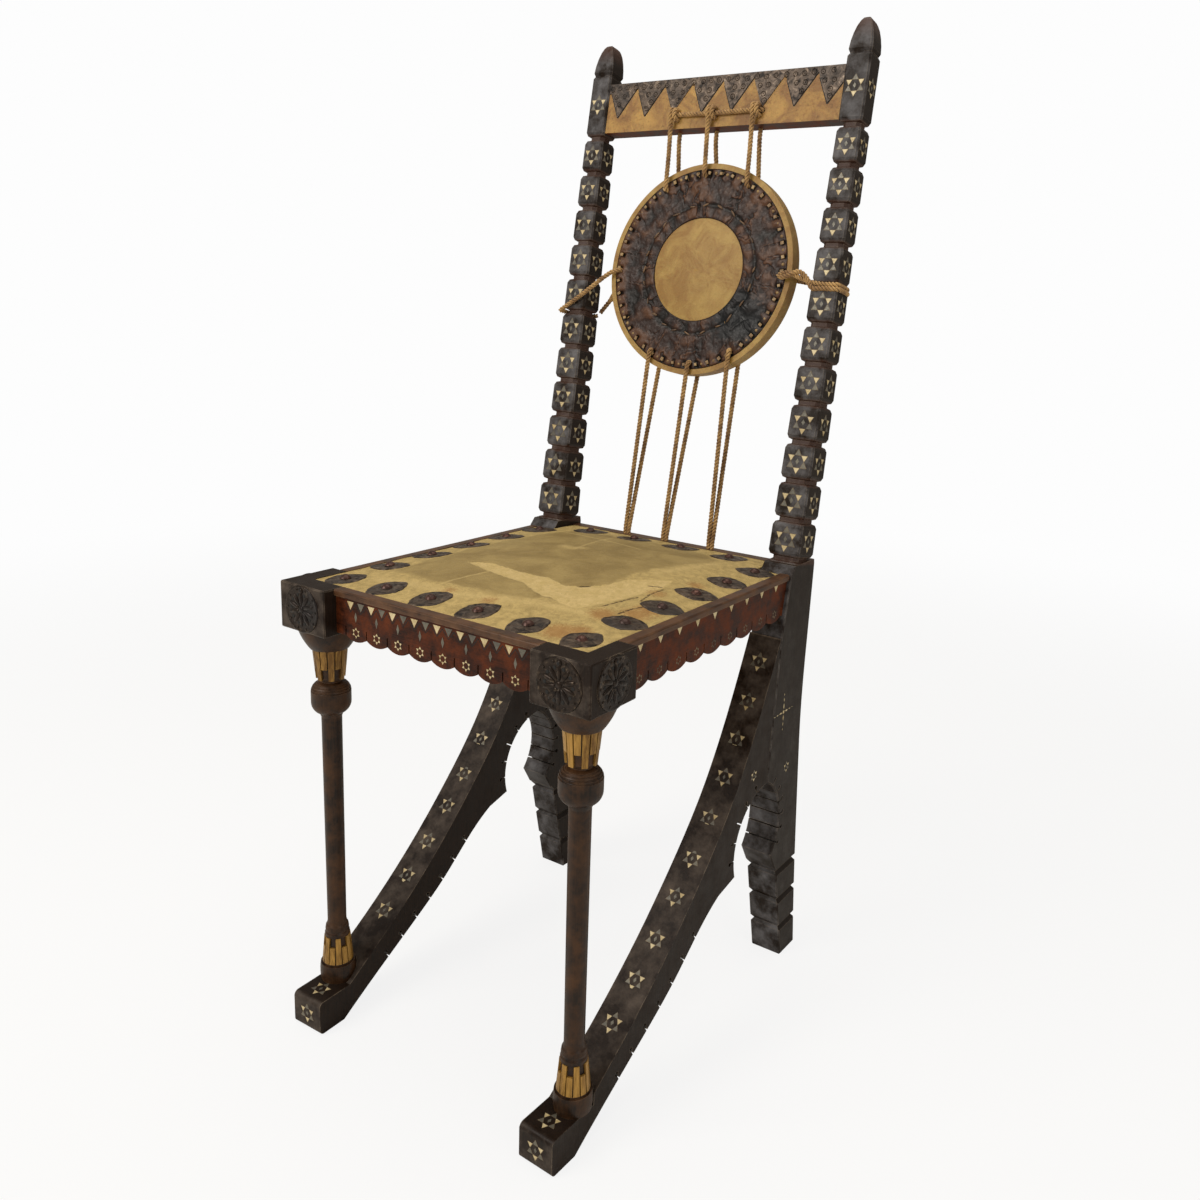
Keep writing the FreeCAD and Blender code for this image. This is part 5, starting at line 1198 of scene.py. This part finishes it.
    @staticmethod
    def places(sheet: bmesh.types.BMesh) -> np.ndarray:
        """Sideways place and depth of each corner of a sheet, in mm."""
        return np.array([(corner.co.x / MM, corner.co.y / MM + ORIGIN_BACK) for corner in sheet.verts])

    def settle(self) -> None:
        """Press the cover from below by its padding, held at nails and edges, and keep what it gains."""
        columns, rows = round(self.across / self.coarse), round(self.deep / self.coarse)
        sheet = self.grid(self.coarse)
        places = self.places(sheet)
        for corner, (x, y) in zip(sheet.verts, places):
            corner.co.z = (self.level + self.crown(x, y)) * MM
        data = mesh_of("cover_at_rest", sheet)
        heights = np.array([vertex.co.z for vertex in data.vertices])
        rest = linked("cover_at_rest", data)
        held = [index for index, (x, y) in enumerate(places) if self.held(x, y)]
        rest.vertex_groups.new(name="held").add(held, 1.0, "REPLACE")
        drape = rest.modifiers.new("drape", "CLOTH")
        for name, value in (("quality", 6), ("tension_stiffness", 40), ("compression_stiffness", 40),
                            ("bending_stiffness", 6), ("use_pressure", True),
                            ("uniform_pressure_force", 4), ("vertex_group_mass", "held")):
            setattr(drape.settings, name, value)
        drape.settings.effector_weights.gravity = 0
        drape.point_cache.frame_end = self.frames
        for moment in range(1, self.frames + 1):
            bpy.context.scene.frame_set(moment)
        settled = rest.evaluated_get(bpy.context.evaluated_depsgraph_get()).to_mesh()
        moved = (np.array([vertex.co.z for vertex in settled.vertices]) - heights) / MM
        bpy.context.scene.frame_set(1)
        bpy.data.objects.remove(rest)
        bpy.data.meshes.remove(data)
        self.gained = np.zeros((rows + 1, columns + 1))
        for (x, y), gain in zip(places, np.clip(moved, -self.most_loss, self.most_gain)):
            behind, right = self.shares(x, y)
            self.gained[round(behind * rows), round(right * columns)] = gain
        LOG.info("cover settled: %.2f to %.2f mm", moved.min(), moved.max())

    def gain(self, x: float, y: float) -> float:
        """Height that the cover gained at a place when it settled, between the four nearest points."""
        if self.gained is None:
            return 0.0
        rows, columns = (count - 1 for count in self.gained.shape)
        behind, right = self.shares(x, y)
        down, right = behind * rows, right * columns
        row, column = min(int(down), rows - 1), min(int(right), columns - 1)
        down, right = down - row, right - column
        near = self.gained[row:row + 2, column:column + 2]
        return float(np.array([1 - down, down]) @ near @ np.array([1 - right, right]))

    def wear(self, places: np.ndarray) -> dict[str, np.ndarray]:
        """How far each place lies inside the worn, torn, rusty and cracked areas, in mm."""
        rusts = [size - np.hypot(*(places - (x, y)).T) for x, y, size in self.rusts]
        depths = {"olive": depth_in(places, self.olive), "torn": depth_in(places, self.tear),
                  "rust": np.max(rusts, axis=0)}
        for name, half, lines in (("streak", 5.0, self.streaks), ("seam", 1.5, self.seams),
                                  ("crack", 0.9, self.cracks)):
            depths[name] = half - np.min([away_from(places, line) for line in lines], axis=0)
        return depths

    def build(self) -> None:
        """Make the cover as one sheet, age it, and let it stand for the soft CAD solids."""
        self.settle()
        sheet = self.grid(self.step)
        gone = [corner for corner in sheet.verts
                if abs(corner.co.x) > self.notch_half * MM
                and corner.co.y > (self.notch_front - ORIGIN_BACK) * MM]
        bmesh.ops.delete(sheet, geom=gone, context="VERTS")
        places = self.places(sheet)
        for name, depths in self.wear(places).items():
            layer = sheet.verts.layers.float.new(name)
            for corner, depth in zip(sheet.verts, depths):
                corner[layer] = depth
        torn = sheet.verts.layers.float["torn"]
        for corner, (x, y) in zip(sheet.verts, places):
            sunk = self.tear_deep * clamp(corner[torn] / self.tear_soft + 0.5)
            corner.co.z = (self.height(x, y) - sunk) * MM
        bmesh.ops.recalc_face_normals(sheet, faces=sheet.faces)
        piece = in_place(sheet, "seat_cover", [SEAT_SKIN], smooth=True)
        thicken(piece, self.thick)
        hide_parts("seat_vellum", "seat_padding")


@dataclass
class LeafPlates:
    """Stamped leaf-shaped plates under the seat's nails, bent to the crown of the cover."""

    cover: SeatCover
    long: float = 21.5
    wide: float = 17.0
    point: float = 1.55
    sides: int = 32
    middle: float = 1.75
    vein_high: float = 0.25
    front_row: float = 60.0
    front_turn: float = 70.0
    other_turn: float = 25.0
    rings: Points = ((0.25, 1.6), (0.4, 1.0), (0.52, 1.35), (0.74, 1.1), (0.86, 0.7), (0.93, 1.0),
                     (1.0, 0.35), (1.0, -0.3))

    def build(self) -> None:
        """Make all plates as one piece."""
        draw = random.Random(5)
        mesh = bmesh.new()
        for x, y in self.cover.nails():
            turn = self.front_turn if y < self.front_row else self.other_turn
            self.plate(mesh, (x, y), math.radians(turn + draw.uniform(-8, 8)), draw)
        bmesh.ops.recalc_face_normals(mesh, faces=mesh.faces)
        piece = in_place(mesh, "seat_leaf_plates", [STAMPED], smooth=True)
        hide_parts("leaf_plates")

    def plate(self, mesh: bmesh.types.BMesh, centre: tuple[float, float], turn: float,
              draw: random.Random) -> None:
        """One plate: rings of points from its middle to its ragged edge.

        Args:
            mesh: The mesh that takes the plate.
            centre: Its nail's place, in mm.
            turn: Turn of its long axis, in radians.
            draw: Random numbers for its edge.
        """
        size = [1 + draw.uniform(-0.04, 0.03) for _ in range(self.sides)]
        loops = []
        for share, lift in self.rings:
            loop = []
            for number in range(self.sides):
                angle = FULL_TURN * number / self.sides
                reach = (abs(math.cos(angle) / self.long) ** self.point
                         + abs(math.sin(angle) / self.wide) ** self.point)
                reach = share * size[number] * reach ** (-1 / self.point)
                x = centre[0] + reach * math.cos(angle + turn)
                y = centre[1] + reach * math.sin(angle + turn)
                vein = self.vein_high * (1 if number % 4 < 2 else -1) * (0.3 < share < 0.9)
                loop.append(mesh.verts.new(upright(x, y, self.cover.height(x, y) + lift + vein)))
            loops.append(loop)
        top = mesh.verts.new(upright(*centre, self.cover.height(*centre) + self.middle))
        for number in range(self.sides):
            after = (number + 1) % self.sides
            mesh.faces.new((top, loops[0][number], loops[0][after]))
            for inner, outer in zip(loops, loops[1:]):
                mesh.faces.new((inner[number], outer[number], outer[after], inner[after]))


@dataclass
class Shield:
    """The leather ring of the shield, crumpled round its pins, with its ring of thong stitches."""

    inner: float = 58.35
    outer: float = 113.45
    pins: int = 44
    pin_ring: float = 108.5
    rings: int = 50
    steps: int = 660
    thick: float = 1.4
    stitches: int = 24
    stitch_ring: float = 73.0
    lump_wide: float = 24.0
    lump_high: float = 1.2
    folds: Points = ((48, 6, 0.0), (15, 3.2, 9.0))
    ridge_high: float = 0.6
    crease_deep: float = 0.9
    pleat_start: float = 94.0
    pleat_run: float = 10.0
    slot_start: float = 103.5
    slot_run: float = 1.5
    slot_half: float = 1.9
    slot_deep: float = 1.3
    gather_ring: float = 68.0
    gather_reach: float = 9.0
    gather_high: float = 0.4
    seam_half: float = 2.4
    seam_deep: float = 0.8
    edge_run: float = 3.0

    def relief(self, radius: float, angle: float) -> float:
        """Height of the crumpled leather above its bed.

        Args:
            radius: From the shield's centre, in mm.
            angle: From the top, in radians.

        Returns:
            The height, in mm.
        """
        around = Vector((math.cos(angle), math.sin(angle), 0.0)) * radius
        height = 0.3 + self.lump_high * noise.fractal(around / self.lump_wide, 0.9, 2.1, 5)
        for reach, turns, bed in self.folds:
            place = Vector((math.cos(angle) * turns + bed, math.sin(angle) * turns, radius / reach))
            wave = noise.noise(place) + 0.12 * noise.noise(around / 5)
            share = clamp(3 * noise.noise(around / 26 + Vector((bed, 4, 0))) + 0.3)
            ridge, crease = math.exp(-abs(wave - 0.07) / 0.05), math.exp(-(wave / 0.035) ** 2)
            height += share * (self.ridge_high * ridge - self.crease_deep * crease)
        pitch = FULL_TURN / self.pins
        off = (angle / pitch + 0.5) % 1.0 - 0.5
        pleat = 0.3 - 0.3 * math.cos(FULL_TURN * off) + 0.5 * noise.noise(around / 6)
        height += clamp((radius - self.pleat_start) / self.pleat_run) * pleat
        slot = math.exp(-(off * pitch * radius / self.slot_half) ** 4)
        height -= self.slot_deep * slot * clamp((radius - self.slot_start) / self.slot_run)
        gather = max(0.0, 1 - abs(radius - self.gather_ring) / self.gather_reach)
        height += self.gather_high * gather * math.cos(self.stitches * angle)
        height -= self.seam_deep * math.exp(-((radius - self.stitch_ring) / self.seam_half) ** 2)
        return height * clamp(min(radius - self.inner, self.outer - radius) / self.edge_run + 0.2)

    def build(self) -> None:
        """Make the ring, its stitches and the square heads of its pins."""
        self.ring()
        self.thongs()
        self.heads()

    def ring(self) -> None:
        """The crumpled ring, spun from one line of points."""
        sheet = bmesh.new()
        span = (self.outer - self.inner) / self.rings
        centre = leaning(0.0, SHIELD_FRONT, SHIELD_HEIGHT)
        spun(sheet, [leaning(0.0, SHIELD_FRONT, SHIELD_HEIGHT + self.inner + span * i)
                     for i in range(self.rings + 1)], centre, LEAN_BACK, self.steps)
        fold = sheet.verts.layers.float.new("fold")
        for corner in sheet.verts:
            arm = corner.co - centre
            up, right = arm.dot(LEAN_UP) / MM, arm.x / MM
            height = self.relief(math.hypot(up, right), math.atan2(right, up))
            corner[fold] = height
            corner.co -= LEAN_BACK * height * MM
        bmesh.ops.recalc_face_normals(sheet, faces=sheet.faces)
        sheet.faces.ensure_lookup_table()
        if sheet.faces[0].normal.dot(LEAN_BACK) > 0:
            bmesh.ops.reverse_faces(sheet, faces=sheet.faces)
        piece = in_place(sheet, "shield_leather", [RING_LEATHER], smooth=True)
        thicken(piece, self.thick)
        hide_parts("disc_leather_ring")

    @staticmethod
    def spot(angle: float, radius: float, w: float, slant: float, size: tuple[float, float, float]) -> Matrix:
        """Place, turn and size of something small on the shield's face.

        Args:
            angle: From the top, in radians.
            radius: From the shield's centre, in mm.
            w: Depth behind the posts' front face, in mm.
            slant: Turn on the face, in radians.
            size: Scale along the ring, outward and forward.

        Returns:
            The frame, with Y outward and Z forward.
        """
        out = Vector((math.sin(angle), 0, 0)) + LEAN_UP * math.cos(angle)
        along = Vector((math.cos(angle), 0, 0)) - LEAN_UP * math.sin(angle)
        centre = leaning(0, w, SHIELD_HEIGHT) + out * radius * MM
        return (Matrix.Translation(centre) @ basis(along, out, -LEAN_BACK)
                @ Matrix.Rotation(slant, 4, "Z") @ Matrix.Diagonal((*size, 1.0)))

    def thongs(self) -> None:
        """Short stitches of waxed thong that show in the inner seam."""
        draw = random.Random(11)
        mesh = bmesh.new()
        for number in range(self.stitches):
            angle = FULL_TURN * (number + draw.uniform(-0.12, 0.12)) / self.stitches
            length = draw.uniform(6.0, 11.0)
            place = self.spot(angle, self.stitch_ring, SHIELD_FRONT - 0.2, draw.uniform(-0.45, 0.45),
                              (length / 2, draw.uniform(0.9, 1.5), 0.9))
            bmesh.ops.create_icosphere(mesh, subdivisions=2, radius=MM, matrix=place)
        bmesh.ops.recalc_face_normals(mesh, faces=mesh.faces)
        in_place(mesh, "shield_thongs", [WAXED], smooth=True)

    def heads(self) -> None:
        """A roughly square head of dried thong on every pin, each a little different."""
        draw = random.Random(3)
        mesh = bmesh.new()
        for number in range(self.pins):
            place = self.spot(FULL_TURN * number / self.pins, self.pin_ring, SHIELD_FRONT - 1.9,
                              draw.uniform(-0.4, 0.4), (draw.uniform(2.9, 3.8), draw.uniform(3.2, 4.4), 1.2))
            bmesh.ops.create_cube(mesh, size=MM, matrix=place)
        bmesh.ops.bevel(mesh, geom=mesh.edges, offset=0.35 * MM, segments=2, profile=0.5, affect="EDGES",
                        material=-1)
        bmesh.ops.recalc_face_normals(mesh, faces=mesh.faces)
        in_place(mesh, "shield_pin_heads", [PIN])


@dataclass
class CrestMetal:
    """Rings stamped in the saw-toothed metal of the crest rail, and dark lines on the vellum along its teeth,
    partly stain and partly painted shadow of the metal's edge.
    """

    rows: tuple[float, ...] = (528.9, 519.4, 510.0, 502.8)
    pitch: float = 11.6
    reach: float = 148.0
    band: float = 526.0
    tips: tuple[float, ...] = (-136.5, -97.5, -58.5, -19.5, 19.5, 58.5, 97.5, 136.5)
    tip_level: float = 495.3
    rail_end: float = 152.0
    left_side: tuple[float, float] = (12.5, 27.9)
    right_side: tuple[float, float] = (24.5, 34.0)
    ring_radius: float = 3.4
    ring_clear: float = 3.0
    # Dark lines on the vellum beside each tooth: partly stain, partly painted shadow of the metal's edge.
    stain_and_shadow_left: tuple[float, float] = (-12.9, 29.0)
    stain_and_shadow_right: tuple[float, float] = (24.9, 35.2)
    stain_and_shadow_width: float = 1.1

    def build(self) -> None:
        """Stamp the rings wherever the metal is, and draw the dark lines beside the teeth: stain and painted
        shadow.
        """
        draw = random.Random(8)
        inlay = Inlay("crest_stamping", "crest_metal_teeth", finishes=(STAMPED, SCORED_AND_SHADE))
        for row, level in enumerate(self.rows):
            x = -self.reach + self.pitch / 2 * (row % 2)
            while x < self.reach:
                start = leaning(x, BEFORE_CREST, level + draw.uniform(-0.7, 0.7))
                face = inlay.seat(start, LEAN_BACK, LEAN_UP)
                if face is not None and self.on_metal(x, level):
                    self.ring(inlay, face, self.ring_radius + draw.uniform(-0.4, 0.3))
                x += self.pitch + draw.uniform(-1.8, 1.8)
        # Painted shadow: dark lines on the vellum along the teeth's edges, which also stand for stain.
        bed = Inlay("crest_joint_stains_and_shadows", "crest_vellum", finishes=(SCORED_AND_SHADE,))
        for tip in self.tips:
            face = bed.seat(leaning(tip, BEFORE_CREST, self.tip_level - 1.5), LEAN_BACK, LEAN_UP)
            if face is not None:
                run, rise = self.stain_and_shadow_right
                right = min(run, self.rail_end - tip)
                bed.line(face, (0.3, 0.6), (right, rise * right / run), self.stain_and_shadow_width)
                bed.line(face, (-0.3, 0.6), self.stain_and_shadow_left, self.stain_and_shadow_width)
        inlay.done()
        bed.done()

    def on_metal(self, x: float, level: float) -> bool:
        """Whether a ring's whole width lies on the metal: in its upper band or in one of its teeth."""
        rise = level - self.tip_level
        (left, left_rise), (right, right_rise) = self.left_side, self.right_side
        return level > self.band or any(
            tip - left * rise / left_rise + self.ring_clear < x
            < tip + right * rise / right_rise - self.ring_clear for tip in self.tips)

    @staticmethod
    def ring(inlay: Inlay, face: Matrix, radius: float) -> None:
        """A raised ring with a sloping inner and outer side and a small boss in it."""
        for foot, top, high, deep, sides, closed in ((1.0, 0.84, 0.3, 0.9, 14, False),
                                                     (0.6, 0.84, 0.3, 0.9, 14, False),
                                                     (0.34, 0.12, 0.15, 0.5, 8, True)):
            bmesh.ops.create_cone(inlay.mesh, cap_ends=closed, segments=sides, radius1=radius * foot * MM,
                                  radius2=radius * top * MM, depth=deep * MM,
                                  matrix=face @ Matrix.Translation((0, 0, high * MM)))


@dataclass
class Rosettes:
    """Stamped rosettes on the front and the outer face of each corner block."""

    level: float = 441.8
    petals: int = 10
    dish: Points = ((0.0, 0.9), (6.0, 0.8), (19.0, 0.75), (21.3, 0.9), (22.4, 1.2), (23.2, 0.7), (23.2, 0.0))

    def build(self) -> None:
        """Make four rosettes and let them stand for the plain roundels."""
        for side in Side:
            mesh = bmesh.new()
            sign = side.value
            for at, turned in ((upright(sign * 156.5, 0, self.level), basis(Vector((1, 0, 0)), UP, -BACK)),
                               (upright(sign * 188, 31.5, self.level),
                                basis(BACK * sign, UP, Vector((sign, 0, 0))))):
                self.stamp(mesh, Matrix.Translation(at) @ turned)
            piece = in_place(mesh, f"block_rosettes_{side.label}", [BRONZE, SCORED_AND_SHADE],
                             smooth=True)
            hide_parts(f"block_roundels_{side.label}")

    def stamp(self, mesh: bmesh.types.BMesh, place: Matrix) -> None:
        """One rosette: a thin dish, long petals, dimples between them drawn as near-black caps that paint
        their shade, and small rings at the rim; the top one has a near-black centre as painted shade.
        """
        spun(mesh, [place @ (Vector((r, 0, h)) * MM) for r, h in self.dish], place.translation,
             place.to_3x3() @ UP, 64)
        bmesh.ops.remove_doubles(mesh, verts=mesh.verts, dist=0.01 * MM)
        half = Matrix.Rotation(math.pi / self.petals, 4, "Z")
        for number in range(self.petals):
            turn = place @ Matrix.Rotation(FULL_TURN * number / self.petals, 4, "Z")
            self.boss(mesh, turn, (0, 10.4, 0.7), (2.3, 7.2, 1.5))
            # Painted shade: near-black caps stand for the hollows of the dimples.
            self.boss(mesh, turn @ half, (0, 14.4, 0.86), (1.75, 1.75, 0.3), 1)
            self.boss(mesh, turn @ half, (0, 19.6, 0.8), (1.3, 1.3, 0.9))
        self.boss(mesh, place, (0, 0, 0.6), (3.4, 3.4, 1.5))
        self.boss(mesh, place, (0, 18.2, 1.0), (2.7, 2.7, 1.2))
        # Painted shade: a near-black cap in the ring's middle stands for its hollow.
        self.boss(mesh, place, (0, 18.2, 1.75), (1.5, 1.5, 0.6), 1)
        bmesh.ops.recalc_face_normals(mesh, faces=mesh.faces)

    @staticmethod
    def boss(mesh: bmesh.types.BMesh, place: Matrix, centre: tuple[float, float, float],
             half: tuple[float, float, float], index: int = 0) -> None:
        """Raise one rounded boss.

        Args:
            mesh: The mesh that takes it.
            place: The rosette's frame.
            centre: Its centre on the rosette's face, in mm.
            half: Its half sizes, in mm.
            index: Its material index.
        """
        size = Matrix.Translation(Vector(centre) * MM) @ Matrix.Diagonal((*half, 1.0))
        made = bmesh.ops.create_uvsphere(mesh, u_segments=14, v_segments=8, radius=MM, matrix=place @ size)
        for face in {face for corner in made["verts"] for face in corner.link_faces}:
            face.material_index = index


def dress_nodes() -> None:
    """Give every CAD node the finish of its kind."""
    for name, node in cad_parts.items():
        kind = max((start for start in NODE_FINISHES if name.startswith(start)), key=len)
        node.data.materials.clear()
        node.data.materials.append(NODE_FINISHES[kind].material())


@dataclass
class Studio:
    """White room with a pale floor, soft lamps, and the camera at the photograph's place."""

    camera_place: tuple[float, float, float] = (0.65405, -0.860297, 0.744572)
    yaw: float = 32.941
    pitch: float = -11.85
    roll: float = 2.372
    lens: float = 31.755
    shift: tuple[float, float] = (-0.0557, -0.0665)
    sensor: float = 36.0
    floor_half: float = 60.0
    floor_fade: tuple[float, float] = (0.9, 2.6)
    floor_glow: tuple[float, float] = (0.86, 1.0)
    lamp_aim: tuple[float, float, float] = (0.0, 0.0, 0.5)
    lamp_colour: tuple[float, float, float] = (1.0, 0.95, 0.88)

    def build(self) -> None:
        """Set the view, the room, the lamps and the camera."""
        bpy.context.scene.view_settings.view_transform = "Standard"
        self.sky()
        self.floor()
        self.lamps()
        self.camera()

    @staticmethod
    def sky() -> None:
        """White to the camera, gentle daylight to the chair."""
        world = bpy.data.worlds.new("studio")
        bpy.context.scene.world = world
        world.use_nodes = True
        brush = Brush(world.node_tree)
        light, white = (brush.add("ShaderNodeBackground", {"Color": srgb(code), "Strength": strength})
                        for code, strength in (("#f7f0e4", 0.36), ("#fdfdfd", 1.0)))
        seen = brush.add("ShaderNodeLightPath", out="Is Camera Ray")
        both = brush.add("ShaderNodeMixShader", {0: seen, 1: light, 2: white})
        shade(world.node_tree, "ShaderNodeOutputWorld", {"Surface": both})

    def floor(self) -> None:
        """Pale floor that keeps the shadow near the chair and fades to white away from it."""
        sheet = bmesh.new()
        bmesh.ops.create_grid(sheet, x_segments=1, y_segments=1, size=self.floor_half)
        data = mesh_of("studio_floor", sheet)
        floor = linked("studio_floor", data)
        paint = bpy.data.materials.new("pale_floor")
        paint.use_nodes = True
        brush = Brush(paint.node_tree)
        matt = brush.add("ShaderNodeBsdfDiffuse", {"Color": srgb("#f2f1ee")})
        glow = brush.add("ShaderNodeEmission", {"Color": srgb("#fdfdfd"), "Strength": 1.0})
        away = brush.measure("LENGTH", brush.coords["Object"])
        share = brush.ramp(away, *self.floor_fade, *self.floor_glow, interpolation_type="SMOOTHSTEP")
        seen = brush.add("ShaderNodeLightPath", out="Is Camera Ray")
        both = brush.add("ShaderNodeMixShader", {0: brush.maths("MULTIPLY", seen, share), 1: matt, 2: glow})
        shade(paint.node_tree, "ShaderNodeOutputMaterial", {"Surface": both})
        data.materials.append(paint)

    def lamps(self) -> None:
        """Large soft lamps: one from the front left, one above and a weak one from the right."""
        for name, place, size, power in (("key", (-0.9, -2.0, 1.9), 1.3, 38.0),
                                         ("top", (0.1, 0.1, 2.5), 1.8, 20.0),
                                         ("fill", (2.0, -0.6, 1.1), 1.4, 9.0)):
            data = bpy.data.lights.new(name, "AREA")
            data.shape = "SQUARE"
            data.size = size
            data.energy = power
            data.color = self.lamp_colour
            lamp = linked(name, data)
            lamp.location = place
            aim = Vector(self.lamp_aim) - lamp.location
            lamp.rotation_euler = aim.to_track_quat("-Z", "Y").to_euler()

    def camera(self) -> None:
        """The camera, turned and shifted as the photograph was framed."""
        yaw, pitch, roll = (math.radians(angle) for angle in (self.yaw, self.pitch, self.roll))
        ahead = Vector((-math.sin(yaw) * math.cos(pitch), math.cos(yaw) * math.cos(pitch), math.sin(pitch)))
        right = ahead.cross(UP).normalized()
        up = right.cross(ahead)
        level = right * math.cos(roll) + up * math.sin(roll)
        high = up * math.cos(roll) - right * math.sin(roll)
        data = bpy.data.cameras.new("studio_camera")
        data.lens = self.lens
        data.sensor_width = self.sensor
        data.shift_x, data.shift_y = self.shift
        camera = linked("studio_camera", data)
        camera.matrix_world = Matrix.Translation(Vector(self.camera_place)) @ basis(level, high, -ahead)
        bpy.context.scene.camera = camera


def main() -> None:
    """Build the studio and dress the chair, piece by piece."""
    logging.basicConfig(level=logging.INFO, format="%(message)s")
    Studio().build()
    dress_nodes()
    cover = SeatCover()
    for part in (Lashings(), BeadedPosts(), Braces(), Aprons(), Rosettes(), CrestMetal(), cover,
                 LeafPlates(cover), Shield()):
        part.build()
        LOG.info("%s is dressed", type(part).__name__)


if __name__ == "__main__":
    main()
